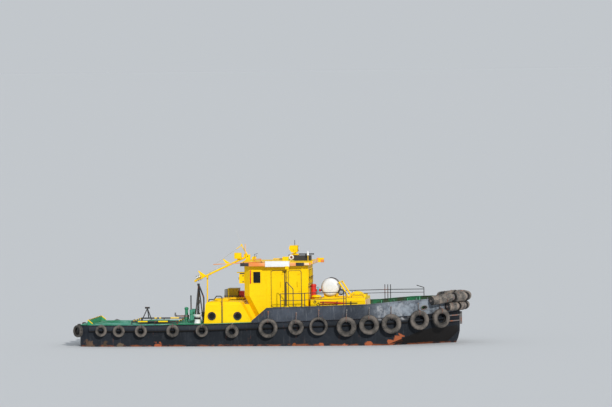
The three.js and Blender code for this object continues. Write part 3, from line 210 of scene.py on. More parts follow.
# Materials.
class Paint:
    """One material: a short way to write its nodes, and a base colour that takes one coat after another."""

    def __init__(self, name, base=None, **sockets):
        self.material = bpy.data.materials.new(name)
        self.material.use_nodes = True
        self.tree = self.material.node_tree
        self.shader = self.tree.nodes["Principled BSDF"]
        self.base = base
        place = self.node("TexCoord")
        self.where, self.normal = place.outputs["Object"], place.outputs["Normal"]
        for key, value in sockets.items():
            self.set(key.replace("_", " "), value)

    def node(self, kind, inputs=None, **settings):
        made = self.tree.nodes.new("ShaderNode" + kind)
        for key, value in settings.items():
            setattr(made, key, value)
        for key, value in (inputs or {}).items():
            self.feed(made.inputs[key], value)
        return made

    def feed(self, socket, value):
        if isinstance(value, bpy.types.NodeSocket):
            self.tree.links.new(value, socket)
        elif isinstance(value, tuple) and len(value) == 3 and socket.type == "RGBA":
            socket.default_value = (*value, 1.0)
        else:
            socket.default_value = value

    def set(self, name, value):
        self.feed(self.shader.inputs[name], value)

    def math(self, how, a, b=0.0, c=0.0):
        return self.node("Math", {0: a, 1: b, 2: c}, operation=how).outputs[0]

    def less(self, a, b):
        return self.math("SUBTRACT", a, b)

    def both(self, a, b):
        return self.math("MULTIPLY", a, b)

    def blend(self, a, share, b):
        """a times share, plus b."""
        return self.math("MULTIPLY_ADD", a, share, b)

    def vector(self, how, a, b):
        made = self.node("VectorMath", {0: a, 1: b}, operation=how)
        return made.outputs["Value" if how in ("DOT_PRODUCT", "DISTANCE") else "Vector"]

    def axis(self, letter, of=None):
        return self.node("SeparateXYZ", {0: of or self.where}).outputs[letter]

    def noise(self, scale, detail=4.0, rough=0.55, stretch=(1, 1, 1)):
        place = self.vector("MULTIPLY", self.where, stretch)
        made = self.node("TexNoise", {"Vector": place, "Scale": scale, "Detail": detail, "Roughness": rough})
        return made.outputs[0]

    def step(self, value, low, high):
        """0 below low and 1 above high, smooth between."""
        inputs = {"Value": value, "From Min": low, "From Max": high}
        return self.node("MapRange", inputs, interpolation_type="SMOOTHSTEP").outputs[0]

    def patches(self, low, high, *noise):
        return self.step(self.noise(*noise), low, high)

    def mix(self, share, a, b):
        return self.node("Mix", {0: share, 6: a, 7: b}, data_type="RGBA").outputs[2]

    def coat(self, colour, share, *shares):
        """Lays a colour over the base, as thick as the product of the shares."""
        for other in shares:
            share = self.both(share, other)
        self.base = self.mix(share, self.base, colour)
        self.set("Base Color", self.base)

    def edges(self, radius, low=0.02, high=0.25):
        """1 on the outer and inner edges of the shape."""
        soft = self.node("Bevel", {"Radius": radius}, samples=4).outputs[0]
        sharp = self.node("NewGeometry").outputs["Normal"]
        return self.step(self.less(1.0, self.vector("DOT_PRODUCT", soft, sharp)), low, high)

    def shade_mask(self, reach, low):
        """1 in corners and under ledges, from ambient occlusion: a mask for painted shade."""
        made = self.node("AmbientOcclusion", {"Distance": reach}, samples=4)
        return self.step(self.less(1.0, made.outputs["AO"]), low, 0.95)

    def spot(self, centre, radius, ragged, scale):
        """1 in a ragged blotch round a point."""
        away = self.vector("DISTANCE", self.where, centre)
        rough = self.both(self.less(self.noise(scale, 5), 0.5), radius * ragged * 4)
        return self.less(1.0, self.step(self.math("ADD", away, rough), radius * 0.7, radius))

    def finish(self, rough, *layers):
        """Sets the roughness and lays bumps of (height, depth in metres, strength). Returns the paint."""
        self.set("Roughness", rough)
        normal = None
        for height, depth, strength in layers:
            made = self.node("Bump", {"Height": height, "Distance": depth, "Strength": strength})
            if normal:
                self.feed(made.inputs["Normal"], normal)
            normal = made.outputs[0]
        self.set("Normal", normal)
        return self


def painted(name, colour, faded, rough=0.5, chips=0.25, runs=0.35, corner_shade=0.5, under=RUST, gloss=0.5):
    """Paint on steel: faded in patches, chipped to rust on its edges, with runs of dirt, and painted shade
    darkening its corners.
    """
    p = Paint(name, colour, Specular_IOR_Level=gloss)
    mottle = p.noise(9.0, 6)
    p.coat(faded, p.patches(0.35, 0.7, 0.7, 3))
    p.coat(mixed(colour, BLACK, 0.35), p.step(mottle, 0.45, 0.75), 0.25)
    p.coat(mixed(colour, under, 0.6), p.patches(0.56, 0.78, 1.0, 5, 0.6, (9, 9, 0.55)), runs)
    # Painted shade: the colour darkens in corners and under ledges.
    p.coat(GRIME_AND_SHADE, p.shade_mask(0.16, 0.25), corner_shade)
    worn = p.both(p.edges(0.012), p.patches(0.47, 0.62, 14.0, 6, 0.7))
    flakes = p.patches(0.70 - 0.08 * chips, 0.74 - 0.06 * chips, 6.0, 8, 0.72)
    bare = p.both(p.math("MAXIMUM", worn, flakes), min(1.0, 0.4 + chips))
    p.coat(under, bare)
    dull = p.blend(bare, 0.35, p.blend(mottle, 0.2, rough - 0.1))
    return p.finish(dull, (mottle, 0.004, 0.25), (bare, 0.0015, -0.5), (p.noise(2.2, 2), 0.02, 0.12))


def hull_side(name="hull_paint", colour=HULL, faded=HULL_FADED, scuffs=0.30, pale=0.10):
    """The hull's paint: slate black with scuffs, a broken rusty boot-top, antifouling below the water."""
    p = Paint(name, colour, Specular_IOR_Level=0.2)
    z = p.axis("Z")
    fine = p.noise(12.0, 7, 0.65)
    p.coat(faded, p.patches(0.40, 0.72, 0.5, 4, 0.6))
    # Faded to slate along the top of the low side aft.
    p.coat(WALL, p.step(z, 0.74, 0.92), p.step(p.both(p.axis("X"), -1.0), 0.5, 3.0), 0.55)
    p.coat(mixed(colour, SCUFF, pale), p.step(fine, 0.5, 0.72), 0.35)
    p.coat(mixed(faded, SCUFF, pale * 1.6), p.patches(0.55, 0.72, 1.0, 6, 0.62, (10, 10, 0.6)), scuffs)
    p.coat(RUST, p.patches(0.62, 0.72, 1.0, 6, 0.65, (5, 5, 0.9)), 0.40)
    # The forward shoulder is rubbed pale where other hulls touch it.
    shoulder = p.spot((6.20, -2.35, 1.58), 0.80, 0.7, 2.2)
    p.coat(SCUFF, shoulder, p.patches(0.40, 0.58, 1.0, 7, 0.7, (5, 5, 3.0)), p.step(z, 1.22, 1.34), 0.70)
    p.coat(mixed(RUST, SCUFF, 0.4), p.edges(0.015), p.patches(0.42, 0.6, 8.0, 6, 0.7), 0.7)
    # Boot-top: a thin, wavering line of rust red over the water, lost in places.
    above = p.less(z, p.blend(p.noise(1.1, 5, 0.65, (1, 1, 0.2)), 0.16, -0.02))
    band = p.less(1.0, p.step(above, -0.01, 0.05))
    p.coat(mixed(RUST, BRIGHT_RUST, 0.2), band, p.patches(0.42, 0.56, 1.6, 6, 0.7, (1, 1, 2)), 0.8)
    for *at, radius, blotch in BOOT_PATCHES:
        p.coat(blotch, p.spot(tuple(at), radius, 0.8, 5.0))
    # Under the chine, where the hull faces down, a painted shade of dark brown.
    p.coat(TUCK_SHADE, p.step(p.both(p.axis("Z", p.normal), -1.0), 0.28, 0.36), p.step(above, 0.0, 0.06), 0.85)
    weed = p.mix(p.patches(0.4, 0.65, 2.0, 6), ANTIFOULING, mixed(ANTIFOULING, GREEN, 0.3))
    p.coat(weed, p.less(1.0, p.step(z, -0.05, 0.0)))
    return p.finish(p.blend(fine, 0.3, 0.5), (p.noise(1.3, 2), 0.05, 0.25), (fine, 0.004, 0.35))


def bulwark_paint():
    """Outside as the hull, paler forward. The inner face, told by its normal, is deck green darkened in
    patches by stains and painted shade, with a painted shadow near each fairlead.
    """
    p = hull_side("bulwark_paint", WALL, WALL_FADED, 0.45, 0.26)
    p.coat(WALL_PALE, p.step(p.axis("X"), 4.1, 6.9), p.patches(0.32, 0.62, 1.8, 6, 0.7), 0.85)
    flat = p.vector("MULTIPLY", p.vector("SUBTRACT", p.where, (4.0, 0, 0)), (1, 1, 0))
    stained_and_shaded = p.mix(p.patches(0.36, 0.60, 2.4, 6), mixed(GREEN, GRIME_AND_SHADE, 0.30), mixed(GREEN, GRIME_AND_SHADE, 0.88))
    # Painted shadow on the inner face of each wall near its fairlead.
    for side in SIDES.values():
        stained_and_shaded = p.mix(p.spot((7.30, side * 1.85, 1.78), 0.42, 0.4, 3.0), stained_and_shaded, mixed(GRIME_AND_SHADE, BLACK, 0.7))
    p.coat(stained_and_shaded, p.step(p.both(p.vector("DOT_PRODUCT", p.normal, flat), -1.0), 0.25, 0.5))
    return p


def vent_paint():
    """Yellow darkened to mustard as painted shadow on the vent, yellow on the plate below it, grey on the
    ribbed aft end.
    """
    p = painted("vent_paint", SHADOWED_MUSTARD, mixed(SHADOWED_MUSTARD, YELLOW, 0.3), 0.55, 0.2, 0.3, 0.5, RUST, 0.3)
    p.coat(LOUVRE_GREY, p.math("LESS_THAN", p.axis("X"), -2.512))
    p.coat(YELLOW, p.math("LESS_THAN", p.axis("Z"), 2.311))
    return p


def deck_green():
    """Worn green, with the plate's outer edge in the hull's colour."""
    p = painted("deck_paint", GREEN, TURQUOISE, 0.75, 0.5, 0.3, 0.6, RUST, 0.05)
    # Rubbed to the pale primer, stained, and trodden rusty between the bars of the aft frame.
    primer = mixed(TURQUOISE, (0.75, 0.80, 0.76), 0.45)
    p.coat(primer, p.patches(0.53, 0.60, 1.0, 7, 0.72, (1.6, 3.2, 1)), 0.75)
    p.coat(mixed(GRIME_AND_SHADE, GREEN, 0.15), p.patches(0.56, 0.66, 1.0, 6, 0.7, (2.2, 3.0, 1)), 0.75)
    across = p.step(p.less(1.55, p.math("ABSOLUTE", p.axis("Y"))), 0.0, 0.25)
    along = p.step(p.less(1.15, p.math("ABSOLUTE", p.math("ADD", p.axis("X"), 5.95))), 0.0, 0.30)
    p.coat(mixed(GRIME_AND_SHADE, HULL, 0.5), across, along, p.patches(0.30, 0.52, 2.6, 6, 0.7), 0.9)
    upright = p.less(1.0, p.step(p.math("ABSOLUTE", p.axis("Z", p.normal)), 0.3, 0.5))
    p.coat(HULL, upright, p.step(p.less(1.7, p.axis("Z")), 0.0, 0.01))
    return p


def worn_rubber(name, dark, worn, tan):
    """Rubber rubbed grey-brown where the attribute wear is high, dark in the hole, and darker still in its
    hollows by painted shade.
    """
    p = Paint(name, dark)
    wear = p.node("Attribute", attribute_name="wear").outputs["Fac"]
    fine = p.noise(16.0, 7, 0.7)
    broad = p.noise(2.5, 4)
    rubbed = p.both(wear, p.step(p.blend(fine, 0.6, p.both(broad, 0.5)), 0.38, 0.62))
    p.coat(p.mix(p.step(broad, 0.4, 0.65), worn, tan), rubbed)
    p.coat(SCUFF, p.patches(0.60, 0.70, 1.0, 8, 0.75, (22, 22, 30)), wear, 0.5)
    # Painted shade in the hole and the grooves.
    p.coat(mixed(dark, BLACK, 0.5), p.shade_mask(0.10, 0.45), 0.8)
    return p.finish(p.blend(fine, 0.2, 0.72), (fine, 0.006, 0.5), (broad, 0.02, 0.2))


def worn_steel(name, colour, rust, metallic, scuffs=0.35):
    """Bare or blackened steel with rust that eats in where two noises meet."""
    p = Paint(name, colour)
    fine = p.noise(18.0, 8, 0.7)
    eaten = p.step(p.blend(fine, 0.5, p.both(p.noise(2.6, 5), 0.6)), 0.62 - 0.2 * rust, 0.72)
    p.coat(mixed(colour, SCUFF, scuffs), fine)
    p.coat(p.mix(fine, RUST, BRIGHT_RUST), eaten)
    p.set("Metallic", p.blend(eaten, -metallic, metallic))
    return p.finish(p.blend(eaten, 0.35, 0.45), (fine, 0.003, 0.4), (eaten, 0.002, 0.4))


def dark_glass():
    p = Paint("glass", (0.006, 0.007, 0.008), Roughness=0.04, IOR=1.45, Transmission_Weight=0.5,
              Specular_IOR_Level=0.25)
    p.coat((0.02, 0.024, 0.028), p.patches(0.4, 0.8, 1.5, 4, 0.6, (3, 3, 1)))
    return p


def lamp_glass(name, colour):
    p = Paint(name, colour, Roughness=0.12, Coat_Weight=0.6)
    p.coat(mixed(colour, (1, 1, 1), 0.10), p.patches(0.4, 0.6, 30.0, 2))
    return p


# Each paint, with a slot name listed beside it.
PAINTS = {
    "hull": (hull_side(), "hull_paint"),
    "bulwark": (bulwark_paint(), "hull_paint"),
    "deck": (deck_green(), "deck_paint"),
    "green": (painted("green_paint", GREEN, TURQUOISE, 0.6, 0.5, 0.3, 0.5), "deck_paint"),
    "bright_green": (
        painted("bright_green", (0.010, 0.27, 0.11), (0.02, 0.33, 0.15), 0.6, 0.3, 0.2, 0.4), "deck_paint"
    ),
    # A paler copy of the wall's green: a painted highlight for the sunlit brackets.
    "lit_green": (
        painted("lit_bracket_paint", (0.10, 0.50, 0.30), (0.40, 0.62, 0.52), 0.6, 0.4, 0.3, 0.3), "deck_paint"
    ),
    "cyan": (painted("valve_paint", (0.05, 0.42, 0.50), (0.10, 0.50, 0.55), 0.5, 0.3), "grey_paint"),
    "lamp": (lamp_glass("lamp_glass", (0.85, 0.85, 0.80)), "glass"),
    "red_lamp": (lamp_glass("red_lamp", (0.16, 0.006, 0.008)), "glass"),
    "green_lamp": (lamp_glass("green_lamp", (0.01, 0.45, 0.12)), "glass"),
    "yellow": (
        painted("yellow_paint", YELLOW, YELLOW_FADED, 0.45, 0.10, 0.16, 0.45, RUST, 0.15), "yellow_paint"
    ),
    # Yellow in painted shade.
    "olive": (painted("shade_olive_paint", SHADE_OLIVE, mixed(SHADE_OLIVE, YELLOW, 0.25), 0.6, 0.1, 0.2, 0.3), "yellow_paint"),
    "vent": (vent_paint(), "yellow_paint"),
    # Yellow darkened as painted shadow.
    "mustard": (painted("shadowed_mustard_paint", SHADOWED_MUSTARD, mixed(SHADOWED_MUSTARD, YELLOW, 0.3), 0.55, 0.2), "yellow_paint"),
    "cream": (painted("cream_paint", (0.90, 0.66, 0.42), (0.90, 0.78, 0.62), 0.6, 0.2), "guard_paint"),
    "dull_grey": (painted("dull_grey", LOUVRE_GREY, (0.22, 0.23, 0.23), 0.6, 0.3), "grey_paint"),
    "grey": (painted("grey_paint", (0.42, 0.44, 0.43), (0.55, 0.56, 0.54), 0.5, 0.4, 0.3, 0.5), "grey_paint"),
    "red": (painted("red_paint", (0.62, 0.02, 0.015), (0.70, 0.05, 0.04), 0.4, 0.1, 0.2, 0.5), "red_paint"),
    "orange": (
        painted("guard_paint", (0.78, 0.24, 0.05), (0.80, 0.50, 0.26), 0.6, 0.2, 0.3, 0.3), "guard_paint"
    ),
    "white": (
        painted("white_gloss", (0.82, 0.84, 0.86), (0.74, 0.75, 0.76), 0.3, 0.03, 0.12, 0.4), "white_gloss"
    ),
    "black": (worn_steel("black_steel", (0.012, 0.012, 0.014), 0.10, 0.0, 0.06), "black_steel"),
    "steel": (worn_steel("worn_steel", (0.13, 0.12, 0.115), 0.5, 0.4), "worn_steel"),
    "machinery": (painted("machinery", (0.20, 0.23, 0.22), (0.30, 0.32, 0.30), 0.5), "machinery"),
    "bronze": (worn_steel("bronze", (0.42, 0.27, 0.09), -0.4, 0.9), "bronze"),
    "tyre": (worn_rubber("tyre", (0.012, 0.011, 0.010), (0.085, 0.076, 0.068), (0.14, 0.12, 0.105)), "tyre"),
    "roll": (worn_rubber("fender_rubber", (0.02, 0.018, 0.017), (0.17, 0.155, 0.14), (0.27, 0.22, 0.18)),
             "fender_rubber"),
    "glass": (dark_glass(), "glass"),
}


# Shapes.
class Shape:
    """Closed forms gathered in one mesh, each in one of the named paints."""

    def __init__(self, paints):
        self.bm = bmesh.new()
        self.wear = self.bm.verts.layers.float.new("wear")
        self.paints = paints.split()
        self.paint = 0

    def use(self, paint):
        self.paint = self.paints.index(paint)

    def grid(self, rows, close_u=True, close_v=False, wear=None):
        """Skins rows of points, each row a ring if close_u is set. Open ends of rings are capped."""
        made = [[self.bm.verts.new(p) for p in row] for row in rows]
        for i, row in enumerate(made):
            for j, v in enumerate(row):
                v[self.wear] = wear(i, j) if wear else 1.0
        faces = []
        n, m = len(made), len(made[0])
        for i in range(n if close_v else n - 1):
            for j in range(m if close_u else m - 1):
                a, b = made[i][j], made[i][(j + 1) % m]
                c, d = made[(i + 1) % n][(j + 1) % m], made[(i + 1) % n][j]
                faces.append(self.bm.faces.new((a, b, c, d)))
        if not close_v and close_u:
            faces.append(self.bm.faces.new(list(reversed(made[0]))))
            faces.append(self.bm.faces.new(made[-1]))
        for f in faces:
            f.material_index = self.paint
        bmesh.ops.recalc_face_normals(self.bm, faces=faces)

    def box(self, lo, hi, edge, turn=None):
        """A block between two corners with rounded edges; turn is a matrix about its middle."""
        lo, hi = Vector(lo), Vector(hi)
        size, middle = hi - lo, (hi + lo) / 2
        turned = turn.to_4x4() if turn else Matrix()
        place = Matrix.Translation(middle) @ turned @ Matrix.Diagonal((*size, 1))
        made = bmesh.ops.create_cube(self.bm, size=1.0, matrix=place)["verts"]
        faces = {f for v in made for f in v.link_faces}
        edges = list({e for v in made for e in v.link_edges})
        width = min(edge, min(size) * 0.45)
        rounds = bmesh.ops.bevel(self.bm, geom=edges, offset=width, segments=2, affect="EDGES", profile=0.6)
        faces = {f for v in rounds["verts"] for f in v.link_faces} | {f for f in faces if f.is_valid}
        for f in faces:
            f.material_index = self.paint
            for v in f.verts:
                v[self.wear] = 1.0

    def block(self, middle, half, edge, turn=None):
        """A box given by its middle and half its size."""
        middle, half = Vector(middle), Vector(half)
        self.box(middle - half, middle + half, edge, turn)

    def tube(self, points, radius, sides=12, closed=False):
        """A round bar along points, mitred at each. radius may be a list, one for each point."""
        points = [Vector(p) for p in points]
        count = len(points)
        radii = radius if isinstance(radius, list) else [radius] * count
        across = None
        rows = []
        for i, point in enumerate(points):
            before = points[i - 1] if i or closed else point
            after = points[(i + 1) % count] if i + 1 < count or closed else point
            back, on = (point - before), (after - point)
            heading = (back.normalized() + on.normalized()).normalized()
            if across is None:
                across = heading.orthogonal().normalized()
            across = (across - heading * across.dot(heading)).normalized()
            half = heading.dot(on.normalized() if on.length else back.normalized())
            wide = radii[i] / clamp(half, 0.6, 1.0) if half < 0.999 else radii[i]
            rows.append(hoop(point, across * wide, heading.cross(across) * wide, sides))
        self.grid(rows, close_v=closed)

    def lathe(self, profile, centre, axis=UP, segments=32, closed=False, wear=None, shape=None):
        """Turns rows of (radius, height) about an axis. The ends are capped, or joined if closed."""
        axis = Vector(axis).normalized()
        u = axis.orthogonal().normalized()
        w = axis.cross(u)
        centre = Vector(centre)
        rows = []
        for i, (r, h) in enumerate(profile):
            row = []
            for j, t in enumerate(turns(segments)):
                reach = shape(r, h, i, j) if shape else r
                row.append(centre + axis * h + (u * math.cos(t) + w * math.sin(t)) * reach)
            rows.append(row)
        self.grid(rows, close_v=closed, wear=wear)

    def drum(self, radius, low, high, centre, axis=UP, segments=20):
        self.lathe([(radius, low), (radius, high)], centre, axis, segments)

    def plate(self, outline, place, thick, edge=0.0):
        """A flat outline of (u, v), each placed by place(u, v, w) with w from 0 to thick."""
        levels = [(outline, 0.0), (outline, thick - edge)]
        if edge:
            levels.append((shrink(outline, edge), thick))
        self.grid([[place(u, v, w) for u, v in row] for row, w in levels])

    def ring(self, outline, wide, place, thick, edge=0.004):
        """A flat frame that follows an outline, wide outward."""
        outer = shrink(outline, -wide)
        section = [(outline, 0.0), (outline, thick - edge), (shrink(outline, -edge), thick)]
        section += [(shrink(outer, edge), thick), (outer, thick - edge), (outer, 0.0)]
        self.grid([[place(u, v, w) for u, v in row] for row, w in section], close_v=True)

    def piece(self, name, body="boat", replaces=()):
        mesh = bpy.data.meshes.new(name)
        self.bm.to_mesh(mesh)
        self.bm.free()
        made = bpy.data.objects.new(name, mesh)
        bpy.context.scene.collection.objects.link(made)
        for paint in self.paints:
            mesh.materials.append(PAINTS[paint][0].material)
        shade(mesh)
        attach(made, body)
        if replaces:
            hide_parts(*replaces)


def shade(mesh):
    mesh.polygons.foreach_set("use_smooth", [True] * len(mesh.polygons))
    mesh.set_sharp_from_angle(angle=math.radians(38))


def shrink(outline, inset):
    """The outline moved inward by inset, corner by corner. It runs anticlockwise."""
    points = [Vector(p) for p in outline]
    moved = []
    for i, p in enumerate(points):
        a = (p - points[i - 1]).normalized()
        b = (points[(i + 1) % len(points)] - p).normalized()
        na, nb = Vector((-a.y, a.x)), Vector((-b.y, b.x))
        n = (na + nb).normalized()
        moved.append(tuple(p + n * (inset / max(0.3, n.dot(na)))))
    return moved


def rounded(u0, v0, u1, v1, corner, steps=6):
    """A rectangle with round corners, anticlockwise."""
    u0, v0, u1, v1 = u0 + corner, v0 + corner, u1 - corner, v1 - corner
    return [
        (u + corner * math.cos(t), v + corner * math.sin(t))
        for quarter, (u, v) in enumerate(((u1, v0), (u1, v1), (u0, v1), (u0, v0)), -1)
        for t in (TAU / 4 * (quarter + k / steps) for k in range(steps + 1))
    ]


def disc(radius, steps, centre=(0, 0)):
    return [(centre[0] + radius * math.cos(t), centre[1] + radius * math.sin(t)) for t in turns(steps)]


def on_side(y, side):
    """Places (x, z, depth) on a wall at y that faces that side."""
    return lambda u, v, w: Vector((u, y + side * w, v))


# Stage.
def make_stage():
    forward = Vector((-math.sin(HEADING) * math.cos(DIP), math.cos(HEADING) * math.cos(DIP), -math.sin(DIP)))
    right = Vector((math.cos(HEADING), math.sin(HEADING), 0))
    up = right.cross(forward)
    turned_right = right * math.cos(ROLL) - up * math.sin(ROLL)
    turned_up = right * math.sin(ROLL) + up * math.cos(ROLL)
    scene = bpy.context.scene
    data = bpy.data.cameras.new("camera")
    data.lens = FOCAL_PX * SENSOR / IMAGE_WIDTH
    data.sensor_width = SENSOR
    data.clip_start, data.clip_end = 1.0, 3000.0
    camera = bpy.data.objects.new("camera", data)
    turn = Matrix((turned_right, turned_up, -forward)).transposed()
    camera.matrix_world = Matrix.Translation(CAMERA_AT) @ turn.to_4x4()
    scene.collection.objects.link(camera)
    scene.camera = camera

    bpy.ops.mesh.primitive_plane_add(size=4000, location=(0, 600, 0))
    floor = bpy.context.object
    floor.name = "floor"
    floor.data.materials.append(Paint("floor", Base_Color=(0.593, 0.614, 0.639), Roughness=0.85).material)

    sun = bpy.data.lights.new("key", "SUN")
    sun.energy = 2.7
    sun.angle = math.radians(2)
    sun.color = (1.0, 0.97, 0.92)
    key = bpy.data.objects.new("key", sun)
    key.rotation_euler = Vector((0.50, -1.0, 0.50)).to_track_quat("Z", "Y").to_euler()
    scene.collection.objects.link(key)

    scene.world = bpy.data.worlds.new("studio")
    scene.world.use_nodes = True
    colour, strength, *_ = scene.world.node_tree.nodes["Background"].inputs
    colour.default_value = (0.90, 0.95, 1.0, 1)
    strength.default_value = 0.60
    scene.view_settings.view_transform = "Standard"


# The CAD pieces that stay get their paints, and some a small round on their edges.
NODE_PAINTS = {
    "hull": "hull keel rudder",
    "bulwark": "bulwark",
    "bright_green": "stern_bulwark",
    "deck": "deck",
    "green": "tow_bitt aft_hatch_lid",
    "yellow": "wheelhouse_starboard wheelhouse_port wheelhouse_front wheelhouse_aft door_starboard_fore "
    "door_starboard_aft door_port_fore door_port_aft roof searchlight mast aft_cabin cabin_hatch_lid casing "
    "mast_crutch fore_trunk fore_hatch_lid raft_cradle trunk_vent aft_frame",
    "vent": "vent_casing",
    "grey": "wheelhouse_floor helm_console bollard_starboard bollard_port",
    "red": "fire_box hydrant",
    "orange": "roof_guard_starboard roof_guard_port",
    "white": "life_raft",
    "black": "helm_wheel radar_base radar_scanner rail_starboard rail_port bow_bitt gallows",
    "steel": "bow_belts tow_hook",
    "machinery": "engine",
    "bronze": "propeller",
    "tyre": "fenders_starboard bow_tyres_starboard fenders_port bow_tyres_port fenders_stern",
    "roll": "bow_fender_upper bow_fender_lower",
    "glass": "glass_front glass_aft glass_starboard glass_port",
}
ROUNDED = (
    "wheelhouse_starboard wheelhouse_port wheelhouse_front wheelhouse_aft roof aft_cabin casing fore_trunk "
    "cabin_hatch_lid fore_hatch_lid vent_casing fire_box raft_cradle aft_frame tow_bitt helm_console "
    "radar_base radar_scanner stern_bulwark aft_hatch_lid engine rudder keel tow_hook mast_crutch"
).split()


def dress_nodes():
    for paint, names in NODE_PAINTS.items():
        for name in names.split():
            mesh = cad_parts[name].data
            mesh.materials.clear()
            mesh.materials.append(PAINTS[paint][0].material)
            shade(mesh)
    for name in ROUNDED:
        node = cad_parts[name]
        flat = node.modifiers.new("flat", "DECIMATE")
        flat.decimate_type = "DISSOLVE"
        flat.angle_limit = math.radians(0.5)
        soft = node.modifiers.new("edges", "BEVEL")
        soft.width = 0.008
        soft.segments = 2
        soft.limit_method = "ANGLE"
        soft.angle_limit = math.radians(35)
        soft.harden_normals = True


# Fenders.
def tyre(shape, centre, axis, radius, width, hole, seed):
    """A worn lorry or car tyre: open carcass, beads, grooved tread."""
    w = width / 2
    rim = radius * hole
    bulge = rim + (radius - rim) * 0.52
    # Radius, height and wear, from the bead over the side to the middle of the tread.
    rows = [
        (rim, -w * 0.62, 0.3),
        (rim + 0.012, -w * 0.84, 0.6),
        (rim + 0.030, -w * 0.86, 0.3),
        (rim + (radius - rim) * 0.28, -w * 0.98, 0.7),
        (bulge, -w * 1.03, 1.0),
        (rim + (radius - rim) * 0.78, -w * 0.98, 1.0),
        (radius * 0.955, -w * 0.84, 1.0),
        (radius * 0.985, -w * 0.66, 1.0),
        (radius * 0.995, -w * 0.36, 0.8),
        (radius * 0.970, -w * 0.30, 0.1),
        (radius * 0.970, -w * 0.22, 0.1),
        (radius, -w * 0.16, 0.8),
    ]
    rows += [(r, -h, k) for r, h, k in reversed(rows)]
    inside = [(rim + 0.012, w * 0.50, 0.0), (bulge, w * 0.72, 0.0), (radius * 0.93, w * 0.54, 0.0)]
    rows += inside + [(r, -h, k) for r, h, k in reversed(inside)]
    dents = random.Random(seed)
    turn = dents.uniform(0, TAU)
    flat = dents.uniform(0.0, 0.02)
    segments = 64 if radius > 0.4 else 48

    def bent(r, h, i, j):
        t = TAU * j / segments
        lug = 0.985 if 5 < i < 18 and abs(h) > w * 0.33 and j % 4 == 0 else 1.0
        return r * lug * (1 - flat * (0.5 + 0.5 * math.cos(2 * (t - turn))))

    def wear(i, j):
        return rows[i][2] * (0.35 if j % 4 == 0 and 7 < i < 16 else 1.0)

    shape.lathe([(r, h) for r, h, _ in rows], centre, axis, segments, True, wear, bent)


def half_round(shape, stations, reach, high, seat):
    """A belt of half-round section through (middle, direction outward) stations."""
    rows = []
    for middle, outward in stations:
        row = []
        for k in range(9):
            t = math.pi * (k / 8 - 0.5)
            out = reach * math.cos(t) ** 0.6 if 0 < k < 8 else -seat
            row.append(middle + outward * out + UP * (math.sin(t) * high / 2))
        rows.append(row)
    shape.grid(rows)


def tyre_seat(side, x, z, width):
    """The middle of a side tyre, and the direction outward there."""
    form = SHELF if x > BOW_TYRES_FROM else BELT
    return edge(x, side, form["out"] + width / 2 - TYRE_SEAT, z)


def make_fenders():
    for name, side in SIDES.items():
        for fore, form, sections, prefix, node in (
            (False, BELT, 90, "", f"fenders_{name}"),
            (True, SHELF, 24, "fore_", f"bow_tyres_{name}"),
        ):
            shape = Shape("tyre")
            for index, (x, z, radius, width, hole) in enumerate(TYRES):
                if (x > BOW_TYRES_FROM) == fore:
                    seed = index + (100 if side > 0 else 0)
                    tyre(shape, *tyre_seat(side, x, z, width), radius, width, hole, seed)
            shape.piece(f"{prefix}tyres_{name}", replaces=[node])
            shape = Shape("hull")
            xs = np.linspace(form["aft"], form["fore"], sections)
            stations = [edge(x, side, 0.0, deck_z(x) - BELT["drop"] + form["high"] / 2) for x in xs]
            half_round(shape, stations, form["out"], form["high"], form["seat"])
            shape.piece(f"{prefix}belt_{name}", replaces=[node])

    shape = Shape("tyre")
    for seed, (x, y, z, radius, width, heading) in enumerate(STERN_TYRES, 50):
        turn = math.radians(heading)
        tyre(shape, (x, y, z), (math.cos(turn), math.sin(turn), 0), radius, width, 0.55, seed)
    shape.piece("stern_tyres", replaces=["fenders_stern"])
    shape = Shape("hull")
    stations = []
    for x, y, heading in [(x, -y, -t) for x, y, t in STERN_BELT] + STERN_BELT[::-1]:
        turn = math.radians(heading)
        middle = Vector((x, y, deck_z(x) - BELT["drop"] + BELT["high"] / 2))
        stations.append((middle, Vector((-math.cos(turn), math.sin(turn), 0))))
    half_round(shape, stations, 0.105, BELT["high"], 0.03)
    shape.piece("stern_belt", replaces=["fenders_stern"])


def chain(shape, start, end, link, wire=0.011):
    """Welded links between two points, each turned a quarter from the last."""
    start, end = Vector(start), Vector(end)
    run = end - start
    count = max(1, round(run.length / (link - 2 * wire)))
    along = run.normalized()
    flats = (along.cross(along.orthogonal().normalized()), along.orthogonal().normalized())
    wide = link * 0.28
    long = link / 2 - wire - wide
    for i in range(count):
        middle = start + run * ((i + 0.5) / count)
        flat = flats[i % 2]
        loop = []
        for t in turns(12):
            straight = long if math.cos(t) > 0 else -long
            loop.append(middle + along * (wide * math.cos(t) + straight) + flat * (wide * math.sin(t)))
        shape.tube(loop, wire, 5, True)


# How far over a walled tyre's top its chain begins.
HANGER_RISE = 0.32


def make_hangers():
    """A lug and a short chain or bar over each side tyre, and a loop round it."""
    for name, side in SIDES.items():
        shape = Shape("steel")
        for x, z, radius, width, hole in TYRES:
            centre, outward = tyre_seat(side, x, z, width)
            crown = centre + UP * (radius + 0.012) - outward * (width * 0.25)
            if x > WALLED_FROM:
                top = z + radius + HANGER_RISE
                lug, _ = edge(x, side, 0.06 * clamp((top - deck_z(x)) / 0.7, 0.0, 1.0), top)
            else:
                lug, _ = edge(x, side, 0.012, deck_z(x) - 0.02)
            shape.block(lug, (0.035, 0.02, 0.04), 0.008)
            if x > WALLED_FROM:
                chain(shape, lug + outward * 0.03, crown, 0.08)
            else:
                shape.tube([lug - UP * 0.03 + outward * 0.01, crown], 0.016, 8)
            hold = centre + UP * (radius * (hole + 1) / 2)
            sling = hoop(hold, outward * (width * 0.62), UP * (radius * (1 - hole) * 0.62), 20)
            shape.tube(sling, 0.013, 6, True)
        shape.piece(f"tyre_chains_{name}")


